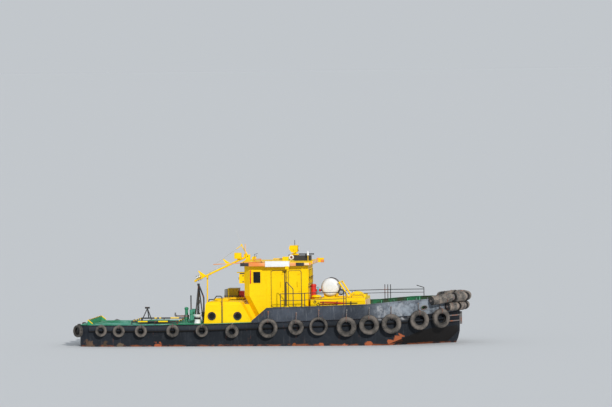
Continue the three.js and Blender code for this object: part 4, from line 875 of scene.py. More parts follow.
# Bow fender rolls. Columns of the rolls: x and y of each end.
TIERS = {
    "upper": {
        "rolls": [(8.100, 2.165, 9.000, 1.435), (9.120, 1.320, 9.570, 0.620)],
        "stem": (9.640, 0.450),
        "radius": 0.235,
        "xz": ((8.100, 9.000), (2.205, 2.345)),
    },
    "lower": {
        "rolls": [(8.840, 1.470, 9.240, 1.020), (9.310, 0.930, 9.530, 0.450)],
        "stem": (9.580, 0.330),
        "radius": 0.210,
        "xz": ((8.800, 9.600), (1.870, 1.885)),
    },
}


def roll(shape, a, b, radius, seed):
    """A fat rubber roll on a bar: rounded shoulders, ribs and a sunk end face."""
    long = (b - a).length
    half = long / 2
    bead = 0.03
    end = [
        (radius * 0.55, -half + 0.012),
        (radius * 0.80, -half),
        (radius - bead, -half),
        (radius - bead * 0.3, -half + bead * 0.3),
        (radius, -half + bead),
    ]
    ribs = max(2, round(long / 0.16))
    middle = []
    for k in range(1, ribs):
        h = -half + long * k / ribs
        groove = radius * 0.975
        middle += [(radius, h - 0.014), (groove, h - 0.006), (groove, h + 0.006), (radius, h + 0.014)]
    profile = end + middle + [(r, -h) for r, h in reversed(end)]
    dents = random.Random(seed)
    waves = [(dents.uniform(0, TAU), dents.uniform(0.004, 0.012), dents.randint(2, 5)) for _ in range(3)]

    def bent(r, h, i, j):
        t = TAU * j / 40
        return r * (1 - sum(deep * math.cos(n * (t - at)) for at, deep, n in waves))

    def wear(i, j):
        return float(3 < i < len(profile) - 3)

    shape.lathe(profile, (a + b) / 2, b - a, 40, wear=wear, shape=bent)


def make_bow_fenders():
    for name, tier in TIERS.items():
        radius = tier["radius"]

        def place(x, y):
            return Vector((x, y, float(np.interp(x, *tier["xz"]))))

        shape = Shape("roll")
        seed = 0
        for ax, ay, bx, by in tier["rolls"]:
            for side in SIDES.values():
                seed += 1
                roll(shape, place(ax, side * ay), place(bx, side * by), radius, seed)
        x, y = tier["stem"]
        roll(shape, place(x, -y), place(x, y), radius, 9)
        shape.piece(f"bow_rolls_{name}", replaces=[f"bow_fender_{name}"])

        shape = Shape("steel black")
        bends = [end for ax, ay, bx, by in tier["rolls"] for end in ((ax, ay), (bx, by))] + [tier["stem"]]
        line = [place(x, -y) for x, y in bends] + [place(x, y) for x, y in reversed(bends)]
        shape.tube(line, 0.038)
        for end, inner in ((line[0], line[1]), (line[-1], line[-2])):
            shape.use("black")
            shape.lathe([(radius * 0.78, 0.0), (radius * 0.74, 0.02)], end, end - inner, 28)
            shape.use("steel")
            shape.drum(0.065, 0.02, 0.06, end, end - inner, 6)
        # Washers in the gaps between the rolls.
        for a, b in zip(line[1::2], line[2::2]):
            gap = (b - a).length * 0.3
            if gap > 0.003:
                rim = radius * 0.7
                washer = [(0.045, -gap), (rim, -gap), (rim, gap), (0.045, gap), (0.045, -gap)]
                shape.lathe(washer, (a + b) / 2, b - a, 20, True)
        # Bands round the rolls, each with a bar back to the bow.
        for side in SIDES.values():
            for ax, ay, bx, by in tier["rolls"]:
                inward = Vector((side * (by - ay), ax - bx, 0)).normalized()
                if inward.x > 0:
                    inward.negate()
                for share in (0.3, 0.72):
                    at = place(ax + (bx - ax) * share, side * (ay + (by - ay) * share))
                    shape.tube(hoop(at, inward * (radius + 0.006), UP * (radius + 0.006), 28), 0.012, 6, True)
                    arm = [at + inward * (radius - 0.01), at + inward * (radius + 0.22) - UP * 0.06]
                    shape.tube(arm, 0.025, 8)
        shape.piece(f"bow_fittings_{name}")


# Wheelhouse. Its sizes come from the frame.
HOUSE_LO, HOUSE_HI = corners("wheelhouse_starboard")
HALF = -HOUSE_LO.y
HOUSE_AFT, HOUSE_FORE = HOUSE_LO.x, HOUSE_HI.x
PANE_RIM = 0.05


def pane(node):
    """The heights of a window's opening, from the glass that overlaps it, and the glass's ends."""
    lo, hi = corners(node)
    return lo.z + PANE_RIM, hi.z - PANE_RIM, lo.x + PANE_RIM, hi.x - PANE_RIM


def window(shape, u0, v0, u1, v1, place, wide=0.035):
    """A seal and the frame over it, round a window's opening."""
    outline = rounded(u0, v0, u1, v1, 0.03)
    shape.use("black")
    shape.ring(shrink(outline, 0.012), 0.016, place, 0.0132)
    shape.use("yellow")
    shape.ring(outline, wide, place, 0.022)


def make_doors():
    for name in (f"door_{side}_{end}" for side in SIDES for end in ("fore", "aft")):
        side = SIDES[name.split("_")[1]]
        (x0, _, z0), (x1, _, z1) = corners(name)
        middle = 0.5 * (z0 + z1)
        hinge_heights = (z0 + 0.28, z1 - 0.28)

        def on_wall(x, out, z):
            return Vector((x, side * (HALF + out), z))

        def face(out):
            return on_side(side * (HALF + out), side)

        shape = Shape("yellow olive")
        # An olive plate under the skin shows round it as painted shade in the door's gap.
        shape.use("olive")
        shape.plate(rounded(x0 + 0.012, z0 - 0.032, x1 + 0.046, z1 + 0.032, 0.10), face(0.0005), 0.012)
        shape.use("yellow")
        skin = rounded(x0 + 0.034, z0 - 0.002, x1 + 0.006, z1 + 0.002, 0.085)
        shape.plate(skin, face(0.0125), 0.014, 0.004)
        pressing = rounded(x0 + 0.10, z0 + 0.10, x1 - 0.08, z1 - 0.10, 0.05)
        shape.ring(pressing, 0.018, face(0.0265), 0.006, 0.002)
        for z in hinge_heights:
            shape.block(on_wall(x0 + 0.12, 0.030, z), (0.08, 0.004, 0.028), 0.003)
        # Dogs with their handles, and the door's grip.
        for z in (z0 + 0.14, middle - 0.10, z1 - 0.14):
            hub = on_wall(x1 - 0.035, 0.026, z)
            shape.lathe([(0.022, 0), (0.022, 0.022), (0.014, 0.03)], hub, (0, side, 0), 14)
            lever = [(0.035, 0.050, 0), (0.065, 0.062, 0.012), (0.145, 0.062, 0.050)]
            shape.tube([on_wall(x1 - back, out, z - drop) for back, out, drop in lever], 0.009, 8)
        grip = [(0.026, 0.10), (0.076, 0.12), (0.076, 0.36), (0.026, 0.38)]
        shape.tube([on_wall(x1 - 0.16, out, middle + rise) for out, rise in grip], 0.010, 8)
        shape.piece(f"{name}_skin", name)

        shape = Shape("yellow")
        axle = x0 - 0.008
        for z in hinge_heights:
            for k in (-1, 0, 1):
                shape.drum(0.0065, -0.016, 0.016, on_wall(axle, 0, z + k * 0.034), UP, 12)
            shape.block(on_wall(axle - 0.0455, 0.003, z), (0.0395, 0.0025, 0.045), 0.001)
        shape.piece(f"{name}_hinges")


def make_house():
    shape = Shape("yellow black red olive")
    for name, side in SIDES.items():
        z0, z1, x0, x1 = pane(f"glass_{name}")
        window(shape, x0, z0, x1, z1, on_side(side * HALF, side))

        def on_wall(x, out, z):
            return Vector((x, side * (HALF + out), z))

        # Conduits between the doors, olive for painted shade, a lamp tube by the window, weld lines.
        shape.use("olive")
        for x in (0.655, 0.715):
            shape.tube([on_wall(x, 0.016, 1.96), on_wall(x, 0.016, 3.90)], 0.014, 8)
            for z in (2.2, 2.8, 3.4):
                shape.block(on_wall(x, 0.016, z), (0.025, 0.006, 0.012), 0.002)
        shape.use("red")
        shape.tube([on_wall(-1.10, 0.030, z) for z in (3.08, 3.10, 3.74, 3.76)], [0.018, 0.026, 0.026, 0.018])
        shape.use("yellow")
        for z in (3.14, 3.68):
            wall = side * HALF
            shape.box((-1.13, wall - 0.03, z - 0.012), (-1.07, wall + side * 0.03, z + 0.012), 0.002)
        for z, fore in ((2.46, -0.14), (3.80, HOUSE_FORE - 0.30)):
            shape.tube([on_wall(HOUSE_AFT + 0.30, 0.001, z), on_wall(fore, 0.001, z)], 0.006, 6)
        shape.tube([on_wall(-0.30, 0.001, 1.95), on_wall(-0.30, 0.001, 3.9)], 0.005, 6)
    # Front windows with their seals and wipers, and a grab rail under them.
    z0, z1, *_ = pane("glass_front")
    for u in (-0.62, 0.0, 0.62):
        window(shape, u - 0.28, z0, u + 0.28, z1, lambda u, v, w: Vector((HOUSE_FORE + w, -u, v)), 0.024)
    shape.use("black")
    for u in (-0.62, 0.0, 0.62):
        pivot = Vector((HOUSE_FORE + 0.03, -u, z0 - 0.06))
        tip = pivot + Vector((0.012, 0.16, 0.40))
        shape.lathe([(0.02, 0), (0.016, 0.03)], pivot - AHEAD * 0.03, AHEAD, 12)
        shape.tube([pivot, tip], 0.007, 6)
        shape.block(tip, (0.008, 0.10, 0.012), 0.003)
    rail = [(0, -0.95), (0.06, -0.95), (0.06, 0.95), (0, 0.95)]
    shape.tube([(HOUSE_FORE + out, y, z0 - 0.16) for out, y in rail], 0.014, 10)
    # Aft windows.
    z0, z1, *_ = pane("glass_aft")
    for u in (-0.525, 0.525):
        window(shape, u - 0.275, z0, u + 0.275, z1, lambda u, v, w: Vector((HOUSE_AFT - w, u, v)), 0.024)
    # The lamp box under its shelf on the aft wall: lens, hinges, and a black block in the gap under the
    # shelf, as painted shade.
    shape.use("black")
    shape.box((HOUSE_AFT - 0.24, -0.97, 3.535), (HOUSE_AFT - 0.02, -0.83, 3.603), 0.006)
    shape.lathe([(0.065, 0), (0.065, 0.02), (0.05, 0.03)], (HOUSE_AFT - 0.272, -0.90, 3.33), -AHEAD, 20)
    for z in (3.16, 3.46):
        shape.box((HOUSE_AFT - 0.10, -0.993, z - 0.03), (HOUSE_AFT - 0.04, -0.984, z + 0.03), 0.002)
    shape.piece("wheelhouse_fittings")


# The guard along each roof edge. Columns: paint, from x, to x, from z, to z, reach past the roof.
GUARD_BANDS = [
    ("black", -1.570, -1.140, 3.970, 4.135, 0.090),
    ("orange", -1.140, -0.310, 3.962, 4.142, 0.092),
    ("white", -0.310, 0.930, 3.930, 4.220, 0.115),
    ("orange", 0.930, 1.250, 3.966, 4.138, 0.092),
    ("black", 1.250, 1.660, 3.970, 4.135, 0.090),
]
BOATHOOK = [(-2.930, -1.640, 4.070), (-0.360, -1.640, 4.190)]
ROOF_HALF = 1.600
# The roof's outline from its side round its fore corner: x and y.
ROOF_CORNER = [(1.660, ROOF_HALF), (1.806, ROOF_HALF), (1.960, 1.446), (1.960, 1.180)]
ROOF_MIDDLE = Vector((1.0, 0, 0))
VISOR = {"x": 2.030, "half": 1.180, "z": (4.046, 4.184)}


def stripe_wall(shape, a, b, z0, z1, thick, long):
    """Upright stripes of cream and orange in turn, along a wall between two (x, y) points."""
    a, b = Vector((*a, 0)), Vector((*b, 0))
    along = (b - a).normalized()
    out = Vector((along.y, -along.x, 0))
    if out.dot((a + b) / 2 - ROOF_MIDDLE) < 0:
        out.negate()
    count = max(1, round((b - a).length / long))
    step = (b - a).length / count
    for k in range(count):
        shape.use("orange" if k % 2 else "cream")
        u0, u1 = k * step, (k + 1) * step
        stripe = [(u0, z0), (u1, z0), (u1, z1), (u0, z1)]
        shape.plate(stripe, lambda u, v, w: a + along * u + UP * v + out * w, thick)


def make_guards():
    for name, side in SIDES.items():
        shape = Shape("orange black white yellow")

        def slab(x0, x1, out0, out1, z0, z1, edge):
            y0, y1 = sorted((side * out0, side * out1))
            shape.box((x0, y0, z0), (x1, y1, z1), edge)

        for paint, x0, x1, z0, z1, reach in GUARD_BANDS:
            shape.use(paint)
            slab(x0 + 0.002, x1 - 0.002, ROOF_HALF + 0.004, ROOF_HALF + reach, z0, z1, 0.012)
        _, x0, x1, z0, z1, reach = GUARD_BANDS[2]
        wall = on_side(side * (ROOF_HALF + reach), side)
        shape.use("white")
        shape.ring(rounded(x0 + 0.03, z0 + 0.03, x1 - 0.03, z1 - 0.03, 0.01, 3), 0.016, wall, 0.006, 0.002)
        for x in np.linspace(x0 + 0.06, x1 - 0.06, 5):
            for z in (z0 + 0.035, z1 - 0.035):
                shape.lathe([(0.012, 0), (0.009, 0.006)], wall(x, z, 0.0), (0, side, 0), 8)
        # The board's inner side, and the lamp under its fore end.
        shape.use("yellow")
        slab(x0, x1, 1.598, 1.6045, 4.165, 4.2205, 0.002)
        slab(0.700, 0.890, 1.610, 1.730, 3.800, 3.960, 0.012)
        bezel = rounded(0.725, 3.825, 0.865, 3.935, 0.02, 3)
        shape.ring(bezel, 0.012, on_side(side * 1.730, side), 0.006, 0.002)
        if side < 0:
            shape.use("orange")
            shape.tube(BOATHOOK, 0.021, 10)
            shape.use("black")
            for x, z in ((-1.40, 4.129), (-0.50, 4.169)):
                shape.block((x, -1.637, z), (0.020, 0.031, 0.039), 0.004)
        shape.piece(f"guard_{name}", replaces=[f"roof_guard_{name}"])


# The searchlight's middle, and half the length and width of its pedestal.
SEARCHLIGHT_AT = Vector((0.950, 0.350, 4.710))
PEDESTAL_HALF = (0.19, 0.16)


def make_roof():
    shape = Shape("yellow orange black white red_lamp green_lamp cream")
    # Stripes round the fore corners and along the visor.
    for side in SIDES.values():
        corner = [(x, side * y) for x, y in ROOF_CORNER]
        for a, b in zip(corner, corner[1:]):
            stripe_wall(shape, a, b, 4.006, 4.118, 0.012, 0.14)
    x, half = VISOR["x"], VISOR["half"]
    stripe_wall(shape, (x, -half), (x, half), *VISOR["z"], 0.004, 0.2)
    # Side lights: a plain box to starboard with its lens ahead, a white frame with a red lens to port.
    for paint, y in (("green_lamp", -1.275), ("red_lamp", 1.275)):
        shape.use(paint)
        shape.lathe([(0.075, 0), (0.070, 0.02)], (0.838, y, 4.290), AHEAD, 20)
    for y, facing in ((1.150, -1), (1.400, 1)):
        shape.use("red_lamp")
        shape.plate(rounded(0.630, 4.200, 0.760, 4.370, 0.02, 3), on_side(y, facing), 0.006)
        shape.use("white")
        shape.ring(rounded(0.632, 4.202, 0.758, 4.368, 0.02, 3), 0.050, on_side(y, facing), 0.010, 0.003)
    shape.box((0.565, 1.144, 4.400), (0.845, 1.406, 4.426), 0.004)
    shape.use("black")
    shape.box((0.533, 1.144, 4.158), (0.565, 1.406, 4.426), 0.006)
    # The searchlight's pedestal: dark starboard face, a yellow collar above it.
    shape.box((0.846, 0.160, 4.185), (1.176, 0.175, 4.443), 0.004)
    shape.use("white")
    shape.box((0.804, 0.160, 4.185), (0.846, 0.175, 4.443), 0.004)
    shape.use("yellow")
    collar = [(4.438, 1.0), (4.490, 1.0), (4.510, 0.88)]
    rows = []
    long, wide = PEDESTAL_HALF
    for z, size in collar:
        middle = Vector((SEARCHLIGHT_AT.x, SEARCHLIGHT_AT.y, z))
        rows.append(hoop(middle, AHEAD * (long * size), ACROSS * (wide * size), 24))
    shape.grid(rows)
    # A round lamp beside it: white rim, dark red glass.
    ring_lamp = (0.800, 0.162, 4.330)
    shape.use("white")
    rim = [(0.066, 0), (0.128, 0), (0.128, 0.028), (0.118, 0.036), (0.066, 0.036), (0.066, 0)]
    shape.lathe(rim, ring_lamp, -ACROSS, 32, True)
    shape.use("red_lamp")
    shape.lathe([(0.070, 0.002), (0.070, 0.020)], ring_lamp, -ACROSS, 24)
    # Corner lamp, aerial cone, winch flanges and frames, deck plates' seams.
    shape.use("orange")
    shape.box((1.975, 1.014, 4.060), (2.060, 1.206, 4.256), 0.008)
    shape.box((2.180, 1.014, 4.024), (2.336, 1.206, 4.170), 0.008)
    for y in (-0.90, -0.70):
        shape.tube([(-0.96, y, 4.19), (-0.96, y, 4.29), (-0.64, y, 4.29), (-0.64, y, 4.19)], 0.018, 8)
    shape.use("white")
    shape.lathe([(0.058, -0.003), (0.058, 0), (0.025, 0.212)], (1.770, -0.900, 4.475), UP, 24)
    shape.use("yellow")
    for y in (-0.16, 0.16):
        shape.drum(0.095, -0.012, 0.012, (-1.080, y, 4.300), ACROSS)
    for x in (-0.90, -0.20, 0.40):
        shape.tube([(x, -1.50, 4.166), (x, 0, 4.218), (x, 1.50, 4.166)], 0.005, 6)
    shape.use("black")
    crank = [(-1.080, 0.16, 4.30), (-1.080, 0.23, 4.30), (-1.00, 0.23, 4.41), (-1.00, 0.32, 4.41)]
    shape.tube(crank, 0.012, 8)
    shape.drum(0.022, -0.16, -0.10, MAST_FOOT, ACROSS, 16)
    shape.drum(0.022, 0.10, 0.20, MAST_FOOT, ACROSS, 16)
    shape.tube([(-1.02, -0.30, 4.15), (-1.02, -0.30, 4.50), (-0.86, -0.30, 4.56)], 0.010, 8)
    shape.piece("roof_fittings")

    shape = Shape("lamp black yellow")
    at = SEARCHLIGHT_AT
    nose = at + Vector((0.195, 0, 0.060))
    shape.lathe([(0.118, -0.004), (0.112, 0.010), (0.07, 0.022)], nose, AHEAD, 28)
    shape.use("black")
    shape.tube(hoop(nose - AHEAD * 0.006, ACROSS * 0.128, UP * 0.128, 32), 0.012, 8, True)
    shape.tube([at + ACROSS * 0.04 + UP * rise for rise in (0.205, 0.471)], 0.014, 10)
    shape.use("yellow")
    for side in SIDES.values():
        boss = [(0.045, 0), (0.045, 0.012), (0.02, 0.016), (0.02, 0.03)]
        shape.lathe(boss, at + Vector((0, side * 0.214, 0.015)), (0, side, 0), 16)
    for z in (-0.06, 0.0, 0.06, 0.12):
        shape.block(at + Vector((-0.2335, 0, z)), (0.0185, 0.12, 0.008), 0.003)
    shape.piece("searchlight_fittings", "searchlight")


# Mast. Its own frame has the pole along -X from the foot, as it lies folded.
MAST_FOOT = Vector((-1.39, 0, 4.42))
MAST_DIP = math.radians(24.8)
# Where the pole's taper steps: the place along it and the radius there.
MAST_STEPS = {
    0.06: 0.055, -0.30: 0.055, -0.34: 0.05, -1.20: 0.05, -1.24: 0.05, -2.10: 0.048, -2.14: 0.044,
    -3.03: 0.036,
}
SPREADERS = (-0.926, -2.330)


def on_mast(x, y, z):
    c, s = math.cos(MAST_DIP), math.sin(MAST_DIP)
    return MAST_FOOT + Vector((x * c - z * s, y, x * s + z * c))


def make_mast():
    shape = Shape("yellow black lamp white red_lamp orange grey")
    tilt = Matrix.Rotation(-MAST_DIP, 3, "Y")
    along = on_mast(-1, 0, 0) - on_mast(0, 0, 0)
    up = on_mast(0, 0, 1) - on_mast(0, 0, 0)

    def bar(radius, sides, *points):
        shape.tube([on_mast(*p) for p in points], radius, sides)

    # Pole with welded collars, boss and two-legged gin.
    bar(list(MAST_STEPS.values()), 20, *((x, 0, 0) for x in MAST_STEPS))
    collar = [(0.03, -0.025), (0.064, -0.025), (0.064, 0.025), (0.03, 0.025), (0.03, -0.025)]
    for x in (-0.32, -1.22, -2.12, -2.62, -2.96):
        shape.lathe(collar, on_mast(x, 0, 0), along, 20, True)
    shape.drum(0.062, -0.070, 0.070, MAST_FOOT, ACROSS, 24)
    for side in SIDES.values():
        leg = [(0, side * 0.036, 0.01), (-0.03, side * 0.030, 0.30), (-0.06, side * 0.012, 0.633)]
        bar([0.030, 0.027, 0.024], 12, *leg)
    bar(0.018, 10, (-0.033, -0.05, 0.348), (-0.033, 0.05, 0.348))
    shape.block(on_mast(-0.06, 0, 0.633), (0.04, 0.045, 0.05), 0.012)
    # Fins that hold the stays, with a foot plate each.
    for x in SPREADERS:
        fin = [(x, -0.02), (x - 0.27, 0.405), (x - 0.31, 0.385), (x - 0.23, -0.02)]
        shape.plate(fin, lambda u, v, w: on_mast(u, w - 0.014, v), 0.028, 0.004)
        bar(0.016, 8, (x - 0.285, -0.030, 0.385), (x - 0.285, 0.030, 0.385))
    # The fuse box at the foot, the lamps' shelf near the tip with its screen, and the yard.
    shape.block(on_mast(-0.10, 0, 0.085), (0.08, 0.05, 0.075), 0.015, tilt)
    shape.block(on_mast(-2.75, 0, 0.055), (0.15, 0.10, 0.010), 0.003, tilt)
    shape.block(on_mast(-2.62, 0, 0.12), (0.012, 0.11, 0.07), 0.003, tilt)
    bar(0.022, 12, (-2.75, -0.42, 0), (-2.75, 0.42, 0))
    # Floodlight with a cowl, upright while the mast lies folded.
    flood = on_mast(-0.457, 0, 0.220)
    shape.block(flood, (0.175, 0.15, 0.15), 0.02)
    shape.block(flood + Vector((0.01, 0, -0.185)), (0.05, 0.04, 0.045), 0.006)
    for k in range(4):
        shape.block(flood + Vector((0.08 * k - 0.12, 0, 0.155)), (0.006, 0.13, 0.007), 0.002)
    hood = rounded(flood.x - 0.13, flood.z - 0.11, flood.x + 0.13, flood.z + 0.11, 0.02, 3)
    shape.ring(hood, 0.015, on_side(-0.15, -1), 0.008, 0.003)
    shape.use("black")
    for y in (-0.38, 0.38):
        shape.drum(0.035, -0.012, 0.012, on_mast(-2.75, y, -0.06), AHEAD, 14)
    bar(0.008, 6, (-2.60, 0, 0.03), (-2.70, -0.09, 0.09), (-2.86, -0.09, 0.08))
    shape.use("lamp")
    shape.block(flood - AHEAD * 0.18, (0.006, 0.125, 0.125), 0.004)
    # Stays over the fins: yellow by the gin's head, bare wire from there. The whip aerial stands on the gin.
    head, eye = on_mast(-0.06, 0, 0.623), on_mast(-1.706, 0, 0.337)
    change = head.lerp(eye, 0.19)
    shape.use("yellow")
    shape.tube([head, change], 0.018, 8)
    shape.use("grey")
    shape.tube([change, eye], 0.014, 8)
    bar(0.012, 8, (-1.706, 0, 0.337), (-1.640, 0, 0.020))
    bar(0.014, 8, (-1.40, 0, 0.105), (-2.36, 0, 0.085))
    bar([0.010, 0.006], 8, (-0.055, 0, 0.593), (0.005, 0, 1.443))
    # A short rod stands off to starboard, clear of the winch when the mast is up.
    shape.use("orange")
    shape.tube([(-1.495, -0.215, 4.58), (-1.495, -0.215, 5.03)], 0.022, 10)
    shape.tube([(-1.495, -0.228, 4.62), on_mast(-0.10, -0.03, 0.11)], 0.012, 8)
    # Lamps: base, cap and bulging lens.
    radius, long = 0.044, 0.14
    for x, y, lens in ((-2.68, -0.055, "lamp"), (-2.68, 0.055, "red_lamp"), (-2.82, 0.0, "lamp")):
        at = on_mast(x, y, 0.06)
        shape.use("black")
        shape.drum(radius * 1.15, 0, long * 0.2, at, up)
        shape.lathe([(radius * 1.2, long * 0.8), (radius * 0.7, long)], at, up, 20)
        shape.use(lens)
        shape.lathe([(radius, long * 0.2), (radius * 1.03, long * 0.5), (radius, long * 0.8)], at, up, 20)
    shape.piece("mast_rig", "mast", ["mast"])


# Aft cabin.
PORTHOLES = {"x": (-3.010, -1.705), "z": 1.487, "r": 0.185}
SIDE_PIPE = [
    (-2.484, -1.915, 1.120), (-2.484, -1.850, 2.300), (-2.500, -1.800, 2.440), (-2.560, -1.780, 2.480),
    (-2.780, -1.760, 2.480), (-2.890, -1.740, 2.320), (-3.160, -1.700, 2.310), (-3.195, -1.690, 2.120),
]


def on_cabin(side, sunk=0.0):
    """Places (x, z, depth) on the cabin's side, which leans in as it rises."""
    return lambda u, v, w: Vector((u, side * (1.90 - (v - 0.80) * 0.0571 + w - sunk), v))


def make_cabin():
    shape = Shape("yellow black glass")
    z, r = PORTHOLES["z"], PORTHOLES["r"]
    for side in SIDES.values():
        wall = on_cabin(side)
        for x in PORTHOLES["x"]:
            shape.use("black")
            shape.ring(disc(r - 0.012, 40, (x, z)), 0.040, wall, 0.030, 0.008)
            shape.ring(disc(r - 0.045, 40, (x, z)), 0.034, on_cabin(side, 0.016), 0.020, 0.004)
            for k in range(8):
                t = TAU * (k + 0.5) / 8
                bolt = wall(x + (r + 0.012) * math.cos(t), z + (r + 0.012) * math.sin(t), 0.030)
                shape.lathe([(0.010, 0), (0.008, 0.008)], bolt, (0, side, 0.05), 8)
            shape.use("glass")
            shape.plate(disc(r - 0.044, 40, (x, z)), on_cabin(side, 0.022), 0.008)
        # A lip round the after porthole, weld lines, and a bar along the foot.
        shape.use("yellow")
        x = PORTHOLES["x"][0]
        lip = [math.radians(angle) for angle in np.linspace(165, 300, 18)]
        shape.tube([wall(x + 0.27 * math.cos(t), z + 0.27 * math.sin(t), 0.002) for t in lip], 0.010, 6)
        shape.tube([wall(-3.37, 1.749, 0.0), wall(-2.4, 1.752, 0.0), wall(-1.33, 1.745, 0.0)], 0.007, 6)
        shape.tube([wall(-2.30, 1.13, 0.0), wall(-2.30, 2.02, 0.0)], 0.005, 6)
        foot = wall(-2.20, 1.14, 0.0) - UP * 0.0125
        shape.block(foot, (1.20, 0.012, 0.0125), 0.004)
    # The starboard side's dark pipe, in its clips.
    shape.use("black")
    shape.tube(SIDE_PIPE, 0.0245, 10)
    wall = on_cabin(-1)
    for z in (1.30, 1.85):
        shape.tube([wall(-2.484, z, -0.005), wall(-2.484, z, 0.035)], 0.014, 8)
    shape.piece("cabin_fittings")

    # Grey ribs and louvres on the vent's aft end, olive frames on its sides in painted shadow like the vent,
    # valves along the plate.
    shape = Shape("mustard dull_grey black")
    shape.use("dull_grey")
    for y in (0.580, 0.725, 0.870, 1.015, 1.160):
        shape.box((-2.694, y - 0.003, 2.320), (-2.598, y + 0.063, 2.694), 0.006)
    for side in SIDES.values():
        for x in (-2.590, -2.552, -2.514):
            shape.block((x, 0.9 + side * 0.334, 2.505), (0.008, 0.006, 0.185), 0.003)
    shape.use("mustard")
    for side in SIDES.values():
        for x in (-2.42, -2.245, -2.07):
            shape.block((x, 0.9 + side * 0.4055, 2.525), (0.015, 0.0065, 0.205), 0.003)
    shape.box((-2.525, 0.485, 2.735), (-1.965, 1.315, 2.755), 0.006)
    shape.use("black")
    valve = [(0.045, 0), (0.045, 0.03), (0.02, 0.04), (0.02, 0.075), (0.05, 0.08), (0.05, 0.095)]
    for x, y in ((-2.60, 0.32), (-2.38, 0.30), (-2.26, 0.36), (-2.02, 0.33), (-1.86, 0.40)):
        shape.lathe(valve, (x, y, 2.308), UP, 16)
    for y in (0.245, 1.405):
        shape.tube([(-2.66, y, 2.305), (-2.66, y, 2.40), (-1.72, y, 2.40), (-1.72, y, 2.305)], 0.010, 8)
    shape.piece("vent_fittings")

    shape = Shape("red black")
    lo, hi = corners("fire_box")
    shape.box((lo.x - 0.012, lo.y - 0.012, hi.z - 0.05), (hi.x + 0.012, hi.y + 0.012, hi.z + 0.012), 0.008)
    for y in (0.68, 0.90, 1.12):
        shape.box((lo.x - 0.010, y - 0.02, lo.z + 0.01), (lo.x + 0.002, y + 0.02, hi.z - 0.05), 0.003)
    shape.use("black")
    for y in (0.75, 1.05):
        shape.block((lo.x - 0.015, y, hi.z - 0.055), (0.007, 0.03, 0.035), 0.004)
    shape.piece("fire_box_lid")

    shape = Shape("yellow black")
    lo, hi = corners("cabin_hatch_lid")
    outline = rounded(lo.x + 0.01, lo.y + 0.01, hi.x - 0.01, hi.y - 0.01, 0.05)
    shape.plate(outline, lambda u, v, w: Vector((u, v, hi.z + w)), 0.012, 0.005)
    shape.use("black")
    middle = (lo.x + hi.x) / 2
    grip = [(-0.08, 0), (-0.08, 0.05), (0.08, 0.05), (0.08, 0)]
    shape.tube([(middle + x, lo.y + 0.08, hi.z + z) for x, z in grip], 0.009, 8)
    for x in (lo.x + 0.12, hi.x - 0.12):
        shape.box((x - 0.02, hi.y - 0.22, hi.z + 0.010), (x + 0.02, hi.y - 0.005, hi.z + 0.022), 0.004)
    shape.piece("cabin_hatch_fittings", "cabin_hatch")


# Foredeck.
RAFT_AT = Vector((2.82, 0, 2.83))
RAFT_R = 0.455
# Half of the canister's outline, from its end to its middle band: radius and distance from the middle.
RAFT_HALF = [
    (0.16, 0.560), (0.17, 0.548), (0.30, 0.542), (0.37, 0.515), (0.42, 0.46), (0.444, 0.39), (0.444, 0.345),
    (0.455, 0.335), (0.455, 0.265), (0.444, 0.255), (0.444, 0.045), (0.455, 0.035),
]


def make_raft():
    shape = Shape("white steel black")
    profile = [(r, -h) for r, h in RAFT_HALF] + [(RAFT_R, 0.0)] + RAFT_HALF[::-1]
    shape.lathe(profile, RAFT_AT, ACROSS, 64)
    shape.use("steel")
    for y in (-0.30, 0.30):
        reach = RAFT_R + 0.004
        shape.tube(hoop(RAFT_AT + ACROSS * y, AHEAD * reach, UP * reach, 48), 0.009, 6, True)
    shape.use("black")
    strap = [math.radians(angle) for angle in np.linspace(-35, 215, 30)]
    reach = RAFT_R + 0.006
    for y in (-0.12, 0.12):
        shape.tube([RAFT_AT + Vector((math.cos(t) * reach, y, math.sin(t) * reach)) for t in strap], 0.011, 6)
    shape.block(RAFT_AT + UP * (RAFT_R + 0.014), (0.05, 0.14, 0.016), 0.008)
    shape.piece("raft_canister", replaces=["life_raft"])

    # A ring hangs from the cradle, which is bolted down at its feet.
    shape = Shape("black")
    shape.tube(hoop(Vector((3.40, -0.705, 2.60)), AHEAD * 0.13, UP * 0.13, 28), 0.029, 10, True)
    shape.box((3.505, -0.723, 2.577), (3.603, -0.647, 2.623), 0.006)
    for y in (-0.64, 0.64):
        for x in (2.50, 3.78):
            shape.block((x, y, 2.3515), (0.05, 0.05, 0.0065), 0.003)
            shape.drum(0.018, 0, 0.014, (x, y, 2.358), UP, 6)
    shape.piece("cradle_fittings")


def handwheel(shape, at, axis, radius, bar=0.010):
    at = Vector(at)
    u = axis.orthogonal().normalized() * radius
    v = axis.cross(u)
    shape.tube(hoop(at, u, v, 24), bar, 8, True)
    for k in range(3):
        arm = u * math.cos(math.pi * k / 3) + v * math.sin(math.pi * k / 3)
        shape.tube([at - arm, at + arm], bar * 0.7, 6)
    shape.drum(0.02, -0.03, 0.02, at, axis, 12)


def bolts(shape, centre, reach, count, radius, high):
    """Bolt heads in a circle round an upright fitting."""
    for at in hoop(Vector(centre), AHEAD * reach, ACROSS * reach, count):
        shape.drum(radius, 0, high, at, UP, 6)


HYDRANT_AT = (1.96, -0.30)
VENT_AT = (2.17, -0.85)


